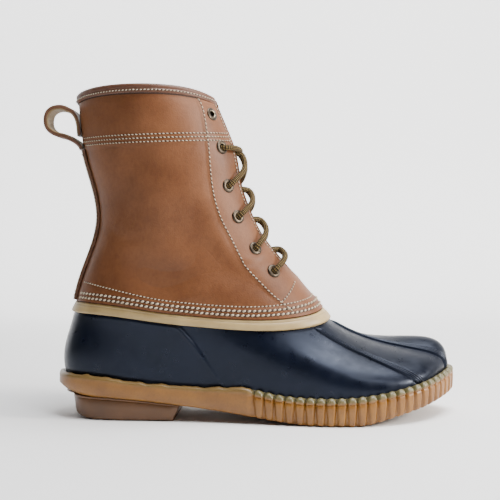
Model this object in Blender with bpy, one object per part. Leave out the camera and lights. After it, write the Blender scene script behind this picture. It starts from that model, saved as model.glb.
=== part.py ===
"""Duck boot: a leather shaft on a moulded rubber lower with a ribbed gum sole. Right boot, standing empty.

Metres, +Z up, toe along +X, medial side along +Y. The origin is on the ground under the middle of the heel.
Shape functions measure x from the back of the sole; the parent empty moves everything to the origin.
A turn is an angle round the boot in degrees: 0 at the front, 180 at the back, positive on the medial side.
"""

import math

import bmesh
import bpy
import numpy as np
from mathutils import Vector

# Driving sizes of the whole boot
SOLE_LENGTH = 0.303
BALL_WIDTH = 0.106
BOOT_HEIGHT = 0.246
SHAFT_WIDTH = 0.087
REST_POINT = 0.048

# Sole sizes
FOXING_WALL = 0.0026
RIB_DEPTH = 0.0020
RIB_PITCH = 0.0075
RIBS_EACH_SIDE = 23
RIB_START_TURN = -88.0
FLOOR_THICKNESS = 0.0080
HEEL_BREAST = 0.0935
HEEL_SLANT = 0.0040
HEEL_INSET = 0.0026
HEEL_SET_BACK = 0.0085
HEEL_SLOPE = 0.0075
HEEL_TAPER = 0.0012
INSOLE_THICKNESS = 0.0040
INSOLE_MARGIN = 0.0010

# Rubber lower and its rim
SHELL_WALL = 0.0025
FLANGE_HEIGHT = 0.0080
MOCCASIN_RIDGE = 0.0013
NEAR_RIDGE_TURN = -26.0
FAR_RIDGE_TURN = 2.0
RIDGE_HALF_TURN = 2.2
COUNTER_TURN = 104.0
COUNTER_STEP = 0.0010
RIM_HEIGHT = 0.0084
RIM_PROUD = 0.0004

# Leather upper
LEATHER = 0.0020
COLLAR_DEPTH = 0.0068
COLLAR_PROUD = 0.0011
COLLAR_LINING = 0.0010
THROAT_HALF_TOP = 0.0085
THROAT_HALF_MIDDLE = 0.0105
THROAT_BOTTOM = 0.4248 * BOOT_HEIGHT
TONGUE_HALF_WIDTH = 0.0270
TONGUE_THICKNESS = 0.0022
TONGUE_TOP = 0.9634 * BOOT_HEIGHT
LACE_ROOM = 0.0036
BACKSTAY_WIDTH = 0.0230
BACKSTAY_THICKNESS = 0.0017
BACKSTAY_TOP = 0.8220 * BOOT_HEIGHT
LOOP_WIDTH = 0.0200
LOOP_REACH = 0.0234
LOOP_THICKNESS = 0.0027

# Eyelets and lace
EYELET_FLANGE = 0.0048
EYELET_HOLE = 0.0027
EYELET_PROUD = 0.0009
EYELET_FROM_EDGE = 0.0135
EYELET_FROM_EDGE_LOW = 0.0172
EYELET_HEIGHTS = tuple(share * BOOT_HEIGHT for share in (0.917, 0.817, 0.701, 0.608, 0.512, 0.444))
LACE_RADIUS = 0.0021

GAP = 0.0003
SHELL_GAP = 0.0005
FINE = 0.0001


def table(columns, *rows):
    """Columns by name, each as an array."""
    return dict(zip(columns.split(), np.array(rows, float).T))


# The sole's edge seen from above: along is a share of SOLE_LENGTH, across of BALL_WIDTH.
SOLE_EDGE = table(
    "turn along across",
    (-160, 0.041, -0.236),
    (-138, 0.152, -0.338),
    (-112, 0.323, -0.363),
    (-90, 0.485, -0.415),
    (-70, 0.627, -0.486),
    (-48, 0.766, -0.492),
    (-26, 0.898, -0.335),
    (-8, 0.967, -0.113),
    (10, 1.000, 0.113),
    (28, 0.970, 0.311),
    (48, 0.865, 0.453),
    (70, 0.710, 0.472),
    (90, 0.545, 0.368),
    (112, 0.356, 0.307),
    (138, 0.165, 0.322),
    (160, 0.043, 0.236),
    (180, 0.000, 0.000),
)

# Side view of the sole: along is a share of SOLE_LENGTH, heights are shares of BOOT_HEIGHT.
UNDERSIDE = table(
    "along height",
    (0.000, 0.0710),
    (0.110, 0.0690),
    (0.190, 0.0640),
    (0.310, 0.0490),
    (0.395, 0.0370),
    (0.470, 0.0240),
    (0.540, 0.0110),
    (0.600, 0.0030),
    (0.650, 0.0000),
    (0.745, 0.0000),
    (0.850, 0.0240),
    (0.905, 0.0385),
    (0.950, 0.0515),
    (1.000, 0.0680),
)
FOXING_TOP = table(
    "along height",
    (0.000, 0.1360),
    (0.130, 0.1310),
    (0.200, 0.1190),
    (0.300, 0.1090),
    (0.400, 0.1040),
    (0.490, 0.1040),
    (0.540, 0.0920),
    (0.640, 0.0820),
    (0.720, 0.0830),
    (0.800, 0.0920),
    (0.870, 0.1060),
    (0.930, 0.1200),
    (1.000, 0.1420),
)

# Level sections of the shaft: back and front are shares of SOLE_LENGTH, half of SHAFT_WIDTH.
# widest is where the section is widest, from back to front. Fullness above 0 rounds an end,
# below 0 narrows it.
SHAFT = table(
    "height back front half widest full_back full_front",
    (0.268, 0.0135, 0.7060, 0.490, 0.55, 0.25, 0.20),
    (0.309, 0.0280, 0.6830, 0.482, 0.53, 0.24, 0.19),
    (0.350, 0.0430, 0.6550, 0.474, 0.51, 0.18, 0.17),
    (0.390, 0.0515, 0.6270, 0.466, 0.50, 0.12, 0.14),
    (0.455, 0.0690, 0.5845, 0.460, 0.48, 0.04, 0.08),
    (0.528, 0.0915, 0.5370, 0.455, 0.47, -0.08, 0.00),
    (0.610, 0.1050, 0.5005, 0.457, 0.48, -0.17, -0.06),
    (0.700, 0.0950, 0.4740, 0.472, 0.50, -0.21, -0.09),
    (0.821, 0.0690, 0.4540, 0.492, 0.52, -0.22, -0.10),
    (0.915, 0.0600, 0.4220, 0.500, 0.53, -0.22, -0.09),
    (1.000, 0.0540, 0.3935, 0.500, 0.53, -0.21, -0.08),
)

# Lower edge of the leather and top of the collar, by turn, the same on both sides: shares of BOOT_HEIGHT.
LEATHER_EDGE = table(
    "turn height",
    (0, 0.3310),
    (15, 0.3250),
    (30, 0.3160),
    (45, 0.3085),
    (65, 0.3050),
    (85, 0.3130),
    (103, 0.3260),
    (122, 0.3430),
    (150, 0.3540),
    (180, 0.3550),
)
COLLAR_TOP = table(
    "turn height",
    (0, 0.9750),
    (20, 0.9810),
    (45, 0.9930),
    (90, 1.0000),
    (140, 0.9970),
    (180, 0.9890),
)

# How the rubber lower rises from the sole to the rim: rise and drop are shares of its height there,
# run of its reach there, bulge of BALL_WIDTH.
LOWER = table(
    "turn rise bulge run drop",
    (-160, 0.42, 0.034, 0.30, 0.30),
    (-138, 0.41, 0.026, 0.30, 0.30),
    (-112, 0.42, 0.020, 0.30, 0.30),
    (-90, 0.46, 0.022, 0.32, 0.30),
    (-70, 0.44, 0.022, 0.40, 0.36),
    (-48, 0.36, 0.010, 0.46, 0.52),
    (-26, 0.26, 0.004, 0.44, 0.62),
    (-8, 0.46, 0.030, 0.46, 0.72),
    (2, 0.62, 0.050, 0.47, 0.76),
    (14, 1.12, 0.062, 0.49, 0.80),
    (28, 1.04, 0.044, 0.48, 0.75),
    (48, 0.78, 0.024, 0.46, 0.56),
    (70, 0.56, 0.022, 0.40, 0.36),
    (90, 0.46, 0.022, 0.32, 0.30),
    (112, 0.42, 0.020, 0.30, 0.30),
    (138, 0.41, 0.026, 0.30, 0.30),
    (160, 0.42, 0.034, 0.30, 0.30),
    (180, 0.42, 0.038, 0.30, 0.30),
)

# Path of the pull loop behind the shaft, in shares of LOOP_REACH: out is behind the leather's back line,
# up is above the loop's lower end.
LOOP_PATH = table(
    "out up",
    (0.00, 0.00),
    (0.07, 0.17),
    (0.33, 0.38),
    (0.66, 0.48),
    (0.92, 0.66),
    (0.98, 0.94),
    (0.85, 1.24),
    (0.53, 1.36),
    (0.23, 1.28),
    (0.06, 1.08),
    (0.00, 0.76),
    (0.00, 0.44),
)

RIDGE_TURNS = tuple(
    ridge + share * RIDGE_HALF_TURN
    for ridge in (NEAR_RIDGE_TURN, FAR_RIDGE_TURN)
    for share in (-1.0, -0.45, 0.45, 1.0)
)
SIDE_TURNS = (40, 50, 61, 74, 88, 100.5, 103.5, 108, 120, 134, 147, 158, 169)
TURNS = sorted(
    [-turn for turn in SIDE_TURNS]
    + list(RIDGE_TURNS)
    + [-33, -18.5, -12, -6, 9, 15, 22, 30]
    + list(SIDE_TURNS)
    + [180]
)


def cubic(keys, values, period=None):
    """A smooth curve through the values: closed when it has a period, otherwise straight beyond its ends."""
    keys = np.asarray(keys, float)
    values = np.asarray(values, float)
    if period:
        keys = np.append(keys, keys[0] + period)
        values = np.append(values, values[0])
    step = np.diff(keys)
    slope = np.diff(values) / step
    count = len(keys)
    system = np.zeros((count, count))
    right = np.zeros(count)
    for i in range(1, count - 1):
        system[i, i - 1 : i + 2] = step[i - 1], 2 * (step[i - 1] + step[i]), step[i]
        right[i] = 6 * (slope[i] - slope[i - 1])
    if period:
        system[0, 0], system[0, -1] = 1, -1
        system[-1, 0], system[-1, 1] = 2 * step[0], step[0]
        system[-1, -1], system[-1, -2] = 2 * step[-1], step[-1]
        right[-1] = 6 * (slope[0] - slope[-1])
    else:
        system[0, 0] = system[-1, -1] = 1
    bend = np.linalg.solve(system, right)

    def at(key):
        if period:
            key = keys[0] + (key - keys[0]) % period
        i = int(np.clip(np.searchsorted(keys, key) - 1, 0, count - 2))
        h = step[i]
        before, after = key - keys[i], keys[i + 1] - key
        if before < 0 or after < 0:
            edge = 0 if before < 0 else count - 1
            lean = slope[0] - h * bend[1] / 6 if before < 0 else slope[-1] + h * bend[-2] / 6
            return values[edge] + lean * (key - keys[edge])
        curved = (bend[i] * (after**3 / h - h * after) + bend[i + 1] * (before**3 / h - h * before)) / 6
        return curved + (values[i] * after + values[i + 1] * before) / h

    return at


def monotone(keys, values):
    """A smooth curve through the values that stays flat between two equal ones."""
    keys = np.asarray(keys, float)
    values = np.asarray(values, float)
    slope = np.diff(values) / np.diff(keys)
    lean = np.zeros(len(keys))
    both = slope[:-1] * slope[1:]
    inner = np.where(both > 0, 2 * both / np.where(both > 0, slope[:-1] + slope[1:], 1), 0)
    lean[1:-1] = inner
    lean[0], lean[-1] = slope[0], slope[-1]

    def at(key):
        key = min(max(key, keys[0]), keys[-1])
        i = int(np.clip(np.searchsorted(keys, key) - 1, 0, len(keys) - 2))
        h = keys[i + 1] - keys[i]
        t = (key - keys[i]) / h
        start = (1 + 2 * t) * (1 - t) ** 2 * values[i] + t * (1 - t) ** 2 * h * lean[i]
        return start + t * t * (3 - 2 * t) * values[i + 1] + t * t * (t - 1) * h * lean[i + 1]

    return at


def two_sided(rows, column):
    """A closed curve by turn from a table that gives one side."""
    turns = list(rows["turn"])
    values = list(rows[column])
    mirrored = [-turn for turn in turns[-2:0:-1]]
    return cubic(mirrored + turns, values[-2:0:-1] + values, period=360)


sole_along = cubic(SOLE_EDGE["turn"], SOLE_EDGE["along"], period=360)
sole_across = cubic(SOLE_EDGE["turn"], SOLE_EDGE["across"], period=360)
underside_share = monotone(UNDERSIDE["along"], UNDERSIDE["height"])
foxing_share = cubic(FOXING_TOP["along"], FOXING_TOP["height"])
shaft_share = {name: cubic(SHAFT["height"], SHAFT[name]) for name in SHAFT if name != "height"}
edge_share = two_sided(LEATHER_EDGE, "height")
collar_share = two_sided(COLLAR_TOP, "height")
lower_share = {name: cubic(LOWER["turn"], LOWER[name], period=360) for name in LOWER if name != "turn"}


def sole_edge(turn, inset=0.0):
    """The sole's edge from above, moved inwards by inset."""
    point = np.array([sole_along(turn) * SOLE_LENGTH, sole_across(turn) * BALL_WIDTH])
    if not inset:
        return point
    ahead, behind = sole_edge(turn + 0.5), sole_edge(turn - 0.5)
    along = (ahead - behind) / np.linalg.norm(ahead - behind)
    return point + inset * np.array([-along[1], along[0]])


def heel_slope(x):
    """How far the foxing's lower edge runs inwards at the back, above the heel block."""
    return HEEL_SLOPE * math.exp(-((x / 0.075 / SOLE_LENGTH) ** 2))


def heel_edge(turn, inset):
    """The heel block's outline, set forward at the back."""
    x, y = sole_edge(turn, inset)
    return np.array([x + HEEL_SET_BACK * max(0.0, -math.cos(math.radians(turn))) ** 8, y])


def underside(x):
    return underside_share(x / SOLE_LENGTH) * BOOT_HEIGHT


def foxing_top(x):
    return foxing_share(x / SOLE_LENGTH) * BOOT_HEIGHT


def floor(x):
    return underside(x) + FLOOR_THICKNESS


def leather_edge(turn):
    return edge_share(turn) * BOOT_HEIGHT


def collar_top(turn):
    return collar_share(turn) * BOOT_HEIGHT


def shaft_line(turn, height):
    """A point of the leather's outer face."""
    share = height / BOOT_HEIGHT
    back = shaft_share["back"](share) * SOLE_LENGTH
    front = shaft_share["front"](share) * SOLE_LENGTH
    half = shaft_share["half"](share) * SHAFT_WIDTH
    middle = back + shaft_share["widest"](share) * (front - back)
    along = math.cos(math.radians(turn))
    across = math.sin(math.radians(turn))
    reach = front - middle if along > 0 else middle - back
    full = shaft_share["full_front" if along > 0 else "full_back"](share)
    return np.array([middle + reach * along, half * across * (1 + full * along**2), height])


def shaft_normal(turn, height):
    """The outward direction of the leather at a point."""
    around = shaft_line(turn + 0.5, height) - shaft_line(turn - 0.5, height)
    up = shaft_line(turn, height + 0.0005) - shaft_line(turn, height - 0.0005)
    normal = np.cross(around, up)
    return normal / np.linalg.norm(normal)


def shaft(turn, height, out=0.0):
    """A point at a distance outside the leather's outer face."""
    return shaft_line(turn, height) + out * shaft_normal(turn, height)


def facet_point(turn, height_at, out):
    """A point at a distance outside the leather, on the flat between the two columns beside a turn."""
    after = next(column for column in TURNS if column > turn)
    before = TURNS[TURNS.index(after) - 1]
    share = (turn - before) / (after - before)
    return (1 - share) * shaft(before, height_at(before), out) + share * shaft(after, height_at(after), out)


def turn_at(height, distance, start=0.0):
    """The turn that lies a distance round the leather from the start turn, on a level section."""
    step = math.copysign(0.5, distance)
    turn, gone = start, 0.0
    while gone < abs(distance):
        here = np.linalg.norm(shaft_line(turn + step, height) - shaft_line(turn, height))
        share = min(1.0, (abs(distance) - gone) / here)
        turn += share * step
        gone += here
    return turn


def shell_seat(turn):
    """Where the rubber lower leaves the sole, in its outer face."""
    x, y = sole_edge(turn, RIB_DEPTH + FOXING_WALL + SHELL_GAP)
    return np.array([x, y, foxing_top(x)])


def shell_line(turn, share):
    """A point of the rubber lower's outer face, from the sole (0) to the rim (1)."""
    foot = shell_seat(turn)
    rim = shaft(turn, leather_edge(turn) - RIM_HEIGHT, -LEATHER - GAP)
    height = rim[2] - foot[2]
    reach = foot[:2] - rim[:2]
    inset = RIB_DEPTH + FOXING_WALL + SHELL_GAP
    x, y = sole_edge(turn, inset) - sole_edge(turn, inset + 0.001)
    outwards = np.array([x, y, 0]) / math.hypot(x, y)
    values = {name: at(turn) for name, at in lower_share.items()}
    first = foot + np.array([0, 0, values["rise"] * height]) + outwards * values["bulge"] * BALL_WIDTH
    second = rim + np.array([*(reach * values["run"]), -values["drop"] * height])
    rest = 1 - share
    return rest**3 * foot + 3 * rest**2 * share * first + 3 * rest * share**2 * second + share**3 * rim


def collection(name):
    made = bpy.data.collections.new(name)
    bpy.context.scene.collection.children.link(made)
    return made


def material(name, colour, roughness, metallic=0.0):
    made = bpy.data.materials.new(name)
    made.use_nodes = True
    shader = made.node_tree.nodes["Principled BSDF"]
    shader.inputs["Base Color"].default_value = (*colour, 1)
    shader.inputs["Roughness"].default_value = roughness
    shader.inputs["Metallic"].default_value = metallic
    return made


def place(name, mesh, finish):
    """An object of the boot, measured from the back of the sole."""
    piece = bpy.data.objects.new(name, mesh)
    parts.objects.link(piece)
    piece.parent = stand
    mesh.materials.clear()
    mesh.materials.append(finish)
    return piece


def mesh_from(name, points, faces):
    """A closed mesh with its faces turned outwards."""
    mesh = bpy.data.meshes.new(name)
    mesh.from_pydata([tuple(point) for point in points], [], faces)
    work = bmesh.new()
    work.from_mesh(mesh)
    bmesh.ops.remove_doubles(work, verts=work.verts, dist=1e-6)
    bmesh.ops.recalc_face_normals(work, faces=work.faces)
    work.to_mesh(mesh)
    work.free()
    mesh.shade_smooth()
    mesh.set_sharp_from_angle(angle=math.radians(38))
    return mesh


def loft(name, rings, closed_around=True, closed_along=False):
    """A solid through rings of equal length. Its ends are capped unless the last ring joins the first."""
    points = [point for ring in rings for point in ring]
    around, along = len(rings[0]), len(rings)
    faces = []
    for i in range(along if closed_along else along - 1):
        for j in range(around if closed_around else around - 1):
            a, b = i * around, ((i + 1) % along) * around
            k = (j + 1) % around
            faces.append((a + j, a + k, b + k, b + j))
    if not closed_along:
        faces.append(tuple(range(around)))
        faces.append(tuple(range((along - 1) * around, along * around)))
    return mesh_from(name, points, faces)


def wall(name, outer, inner):
    """A hollow wall between two stacks of closed rings, open above and below."""
    around = range(len(outer[0]))
    rings = [[ring[i] for ring in outer] + [ring[i] for ring in inner[::-1]] for i in around]
    return loft(name, rings, closed_along=True)


def plate(name, upper, lower):
    """A solid between two stacks of open rows."""
    rows, across = len(upper), len(upper[0])
    points = [point for row in upper for point in row] + [point for row in lower for point in row]
    under = rows * across
    faces = []
    for i in range(rows - 1):
        for j in range(across - 1):
            a = i * across + j
            quad = (a, a + 1, a + across + 1, a + across)
            faces.append(quad)
            faces.append(tuple(under + k for k in quad[::-1]))
    rim = [j for j in range(across)]
    rim += [i * across + across - 1 for i in range(1, rows)]
    rim += [(rows - 1) * across + j for j in range(across - 2, -1, -1)]
    rim += [i * across for i in range(rows - 2, 0, -1)]
    for a, b in zip(rim, rim[1:] + rim[:1]):
        faces.append((a, b, under + b, under + a))
    return mesh_from(name, points, faces)


def ladder(ring):
    """Faces across a closed ring of point numbers, rung by rung, from its first point to the one opposite."""
    count = len(ring)
    half = count // 2
    faces = [(ring[0], ring[1], ring[-1])]
    for i in range(1, count - half - 1):
        faces.append((ring[i], ring[i + 1], ring[count - i - 1], ring[count - i]))
    if count % 2 == 0:
        faces.append((ring[half - 1], ring[half], ring[half + 1]))
    return faces


def capped_rings(name, rings):
    """A solid through closed rings, with a ladder of faces over the first and the last."""
    around = len(rings[0])
    points = [point for ring in rings for point in ring]
    faces = []
    for i in range(len(rings) - 1):
        for j in range(around):
            k = (j + 1) % around
            faces.append((i * around + j, i * around + k, (i + 1) * around + k, (i + 1) * around + j))
    faces += ladder(list(range(around)))
    faces += ladder(list(range((len(rings) - 1) * around, len(rings) * around)))
    return mesh_from(name, points, faces)


def boolean(piece, cutter, operation="DIFFERENCE"):
    modifier = piece.modifiers.new(cutter.name, "BOOLEAN")
    modifier.operation = operation
    modifier.object = cutter
    modifier.solver = "EXACT"


def cutter(name, mesh):
    """A tool that shapes a piece and isn't part of the boot."""
    tool = bpy.data.objects.new(name, mesh)
    tools.objects.link(tool)
    tool.parent = stand
    tool.hide_render = True
    tool.display_type = "WIRE"
    return tool


def curve_mesh(curve):
    """The closed mesh of a curve with a bevel or an extrusion."""
    holder = bpy.data.objects.new(curve.name, curve)
    bpy.context.scene.collection.objects.link(holder)
    graph = bpy.context.evaluated_depsgraph_get()
    mesh = bpy.data.meshes.new_from_object(holder.evaluated_get(graph))
    bpy.data.objects.remove(holder)
    work = bmesh.new()
    work.from_mesh(mesh)
    bmesh.ops.remove_doubles(work, verts=work.verts, dist=FINE / 10)
    bmesh.ops.recalc_face_normals(work, faces=work.faces)
    work.to_mesh(mesh)
    work.free()
    return mesh


def tube_mesh(name, points, radius):
    """A round cord along points, with filled ends."""
    curve = bpy.data.curves.new(name, "CURVE")
    curve.dimensions = "3D"
    curve.bevel_depth = radius
    curve.bevel_resolution = 2
    curve.use_fill_caps = True
    spline = curve.splines.new("POLY")
    spline.points.add(len(points) - 1)
    for target, point in zip(spline.points, points):
        target.co = (*point, 1)
    mesh = curve_mesh(curve)
    mesh.shade_smooth()
    mesh.set_sharp_from_angle(angle=math.radians(50))
    return mesh


def arc_turns(start, end, count):
    """Turns between two others that part the sole's edge into equal lengths."""
    dense = np.linspace(start, end, 400)
    edge = np.array([sole_edge(turn) for turn in dense])
    gone = np.concatenate([[0], np.cumsum(np.linalg.norm(np.diff(edge, axis=0), axis=1))])
    return np.interp(np.linspace(0, gone[-1], count + 1), gone, dense)


def rib_end_turn():
    """The medial turn where the ribs end, as far round the edge as the rib pitch takes them."""
    dense = np.linspace(RIB_START_TURN, 130, 900)
    edge = np.array([sole_edge(turn) for turn in dense])
    gone = np.concatenate([[0], np.cumsum(np.linalg.norm(np.diff(edge, axis=0), axis=1))])
    return float(np.interp(2 * RIBS_EACH_SIDE * RIB_PITCH, gone, dense))


def outsole_columns():
    """Each column of the sole's side: its turn, and how deep it lies in a groove (0 to 1)."""
    end = rib_end_turn()
    ribs = arc_turns(RIB_START_TURN, end, 2 * RIBS_EACH_SIDE)
    columns = []
    for turn, following in zip(ribs, ribs[1:]):
        columns.append((turn, 1.0))
        columns += [(turn + share * (following - turn), 0.0) for share in (0.26, 0.74)]
    columns.append((end, 1.0))
    columns += [(turn, 0.0) for turn in TURNS if turn > end + 1]
    columns += [(turn, 0.0) for turn in TURNS if turn < RIB_START_TURN - 1]
    return columns


def outsole(finish):
    """A tray of gum rubber: its wall stands up round the shell, ribbed round the forefoot."""
    columns = outsole_columns()
    start = next(i for i, (turn, _) in enumerate(columns) if abs(turn - 180) < 1e-6)
    columns = columns[start:] + columns[:start]
    thick = RIB_DEPTH + FOXING_WALL
    # inset from the rib tops, share of the rib depth in a groove, share of the way up the wall, height added
    profile = (
        (0.0030, 0.0, 0.0, 0.0000),
        (0.0012, 0.6, 0.0, 0.0014),
        (0.0004, 1.0, 0.34, 0.0),
        (0.0000, 1.0, 1.0, -0.0050),
        (0.0006, 1.0, 1.0, -0.0012),
        (0.0026, 0.4, 1.0, 0.0000),
        (thick, 0.0, 1.0, -0.0006),
    )
    rings = []
    for inset, groove_share, up, added in profile:
        ring = []
        for turn, groove in columns:
            edge_x = sole_edge(turn)[0]
            slope = heel_slope(edge_x) * (1.0 - up / 0.45 if up < 0.45 else 0.0)
            x, y = sole_edge(turn, inset + groove * groove_share * RIB_DEPTH + slope)
            low, high = underside(edge_x), foxing_top(edge_x) - 0.0016 * groove * (up == 1.0)
            ring.append((x, y, low + up * (high - low) + added))
        rings.append(ring)
    inner = []
    for turn, _ in columns:
        x, y = sole_edge(turn, thick)
        inner.append((x, y, floor(sole_edge(turn)[0])))
    rings.append(inner)
    return place("outsole", capped_rings("outsole", rings), finish)


def heel(finish):
    """The heel block, a D seen from above, with its flat base on the ground."""
    count = 22
    first = [turn for turn in np.linspace(-180, -90, 200) if sole_edge(turn)[0] > HEEL_BREAST][0]
    last = [turn for turn in np.linspace(180, 90, 200) if sole_edge(turn)[0] > HEEL_BREAST][0]
    lateral = arc_turns(-180, first, count // 2)[:-1]
    medial = arc_turns(180, last, count // 2)[1:-1][::-1]
    rings = []
    levels = ((0.0024, 0.0, 0.0, 1.0), (0.0008, 0.0, 0.0016, 1.0), (0.0, 1.0, -GAP, 0.0))
    for inset, share, added, back in levels:
        inset += HEEL_INSET + back * HEEL_TAPER
        ring = [heel_edge(turn, inset) for turn in lateral]
        breast = HEEL_BREAST - back * HEEL_SLANT
        ends = ((-1, first), (1, last))
        ring += [(breast, side * (abs(sole_edge(turn)[1]) - inset)) for side, turn in ends]
        ring += [heel_edge(turn, inset) for turn in medial]
        if len(ring) % 2:
            ring.insert(len(lateral) + 1, (breast, 0.0))
        rings.append([(x, y, share * underside(x) + added) for x, y in ring])
    return place("heel", capped_rings("heel", rings), finish)


def insole(finish):
    """A foam sheet on the floor of the tray, inside the shell."""
    inset = RIB_DEPTH + FOXING_WALL + SHELL_GAP + SHELL_WALL + INSOLE_MARGIN
    turns = [turn for turn in TURNS if turn not in RIDGE_TURNS[1:3] + RIDGE_TURNS[5:7]]
    turns = turns[-1:] + turns[:-1]
    if len(turns) % 2:
        turns.remove(-12)
    rings = []
    for added in (GAP, INSOLE_THICKNESS):
        ring = []
        for turn in turns:
            x, y = sole_edge(turn, inset)
            ring.append((x, y, floor(sole_edge(turn)[0]) + added))
        rings.append(ring)
    return place("insole", capped_rings("insole", rings), finish)


def shell_relief(turn, share):
    """How far the moulded lines stand out of the rubber lower."""
    relief = 0.0
    for ridge in (NEAR_RIDGE_TURN, FAR_RIDGE_TURN):
        if abs(turn - ridge) < 0.5 * RIDGE_HALF_TURN:
            relief += MOCCASIN_RIDGE
    if abs(turn) > COUNTER_TURN - 1:
        relief += COUNTER_STEP * min(1.0, 2.4 * share)
    return relief


def shell(finish):
    """The rubber lower: one moulded wall from the tray to a flange inside the leather."""
    shares = (0.0, 0.15, 0.31, 0.48, 0.65, 0.82, 1.0)
    around = len(TURNS)
    base = np.array([[shell_line(turn, share) for turn in TURNS] for share in shares])
    out = np.zeros_like(base)
    for i, share in enumerate(shares):
        for j in range(around):
            across = base[i, (j + 1) % around] - base[i, j - 1]
            up = base[min(i + 1, len(shares) - 1), j] - base[max(i - 1, 0), j]
            normal = np.cross(across, up)
            out[i, j] = normal / np.linalg.norm(normal)
    out[0, :, 2] = 0
    out[0] /= np.linalg.norm(out[0], axis=1)[:, None]
    relief = np.array([[shell_relief(turn, share) for turn in TURNS] for share in shares])
    relief[0] = 0
    relief[-1] = 0
    outer = list(base + out * relief[:, :, None])
    inner = list(base - out * SHELL_WALL)
    foot = base[0].copy()
    foot[:, 2] = [floor(sole_edge(turn)[0]) + 2 * GAP for turn in TURNS]
    outer.insert(0, foot)
    inner.insert(0, foot - out[0] * SHELL_WALL)
    for rise in (0.0, 1.0):
        heights = [leather_edge(turn) + rise * FLANGE_HEIGHT for turn in TURNS]
        outer.append([shaft(turn, z, -LEATHER - GAP) for turn, z in zip(TURNS, heights)])
        inner.append([shaft(turn, z, -LEATHER - GAP - SHELL_WALL) for turn, z in zip(TURNS, heights)])
    return place("shell", wall("shell", outer, inner), finish)


def rim_band(finish):
    """The pale rubber strip round the top of the shell, just under the leather's edge."""
    inside = -LEATHER
    section = (
        (inside, -RIM_HEIGHT + GAP),
        (RIM_PROUD - 0.0006, -RIM_HEIGHT + GAP),
        (RIM_PROUD, -0.72 * RIM_HEIGHT),
        (RIM_PROUD - 0.0002, -0.30 * RIM_HEIGHT),
        (RIM_PROUD - 0.0010, -GAP),
        (inside, -GAP),
    )
    rings = []
    for turn in TURNS:
        edge = leather_edge(turn)
        rings.append([shaft(turn, edge + up, out) for out, up in section])
    return place("rim_band", loft("rim_band", rings, closed_along=True), finish)


def throat_cutter():
    """The slot that opens the front of the leather, wider halfway down, with a round foot."""
    top = BOOT_HEIGHT * 1.05
    middle = 0.5 * (THROAT_BOTTOM + BOOT_HEIGHT)
    outline = []
    for i in range(9):
        angle = math.radians(180 + 180 * i / 8)
        height = THROAT_BOTTOM + THROAT_HALF_TOP * (1 + math.sin(angle))
        outline.append((THROAT_HALF_TOP * math.cos(angle), height))
    outline += [(THROAT_HALF_MIDDLE, middle), (THROAT_HALF_TOP, top)]
    outline += [(-THROAT_HALF_TOP, top), (-THROAT_HALF_MIDDLE, middle)]
    curve = bpy.data.curves.new("throat_cutter", "CURVE")
    curve.dimensions = "2D"
    curve.fill_mode = "BOTH"
    curve.extrude = 0.22 * SOLE_LENGTH
    spline = curve.splines.new("POLY")
    spline.points.add(len(outline) - 1)
    for target, (y, z) in zip(spline.points, outline):
        target.co = (y, z, 0, 1)
    spline.use_cyclic_u = True
    tool = cutter("throat_cutter", curve_mesh(curve))
    tool.rotation_euler = (math.radians(90), 0, math.radians(90))
    tool.location = (0.57 * SOLE_LENGTH, 0, 0)
    return tool


def eyelet_reach(height):
    """How far to the side an eyelet sits from the front line: the rows spread towards the instep."""
    half = THROAT_HALF_MIDDLE if height < 0.88 * BOOT_HEIGHT else THROAT_HALF_TOP
    share = (EYELET_HEIGHTS[0] - height) / (EYELET_HEIGHTS[0] - EYELET_HEIGHTS[-1])
    return half + EYELET_FROM_EDGE + share * (EYELET_FROM_EDGE_LOW - EYELET_FROM_EDGE)


def eyelet_frame(side, height):
    """The middle of an eyelet on the leather, and its axis."""
    turn = turn_at(height, side * eyelet_reach(height))
    return turn, shaft_line(turn, height), shaft_normal(turn, height)


def turned_about(axis):
    """The rotation that takes +Z to an axis."""
    return Vector([float(value) for value in axis]).to_track_quat("Z", "Y").to_euler()


def eyelet_cutter(name, side, height):
    work = bmesh.new()
    hole = {"radius1": EYELET_HOLE, "radius2": EYELET_HOLE, "depth": 0.012}
    bmesh.ops.create_cone(work, cap_ends=True, segments=12, **hole)
    mesh = bpy.data.meshes.new(name)
    work.to_mesh(mesh)
    work.free()
    tool = cutter(name, mesh)
    _, centre, axis = eyelet_frame(side, height)
    tool.location = centre
    tool.rotation_euler = turned_about(axis)
    return tool


def upper_rows():
    """Heights of the leather's rings, as (share of the way to the collar, height above the edge)."""
    return [(0.0, 0.0), (0.0, FLANGE_HEIGHT)] + [
        (share, 0.0) for share in (0.13, 0.21, 0.29, 0.37, 0.45, 0.54, 0.64, 0.76, 0.88, 1.0)
    ]


def upper(finish):
    """The leather shaft: one wall from the rim to the collar, with the throat and the eyelet holes cut."""
    outer, inner = [], []
    for share, added in upper_rows():
        heights = []
        for turn in TURNS:
            low, high = leather_edge(turn), collar_top(turn) - COLLAR_PROUD - GAP
            heights.append(low + share * (high - low) + added)
        outer.append([shaft(turn, z) for turn, z in zip(TURNS, heights)])
        inner.append([shaft(turn, z, -LEATHER) for turn, z in zip(TURNS, heights)])
    piece = place("upper", wall("upper", outer, inner), finish)
    boolean(piece, throat_cutter())
    for side_name, side in (("lateral", -1), ("medial", 1)):
        for i, height in enumerate(EYELET_HEIGHTS, 1):
            boolean(piece, eyelet_cutter(f"hole_{side_name}_{i}", side, height))
    return piece


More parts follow.
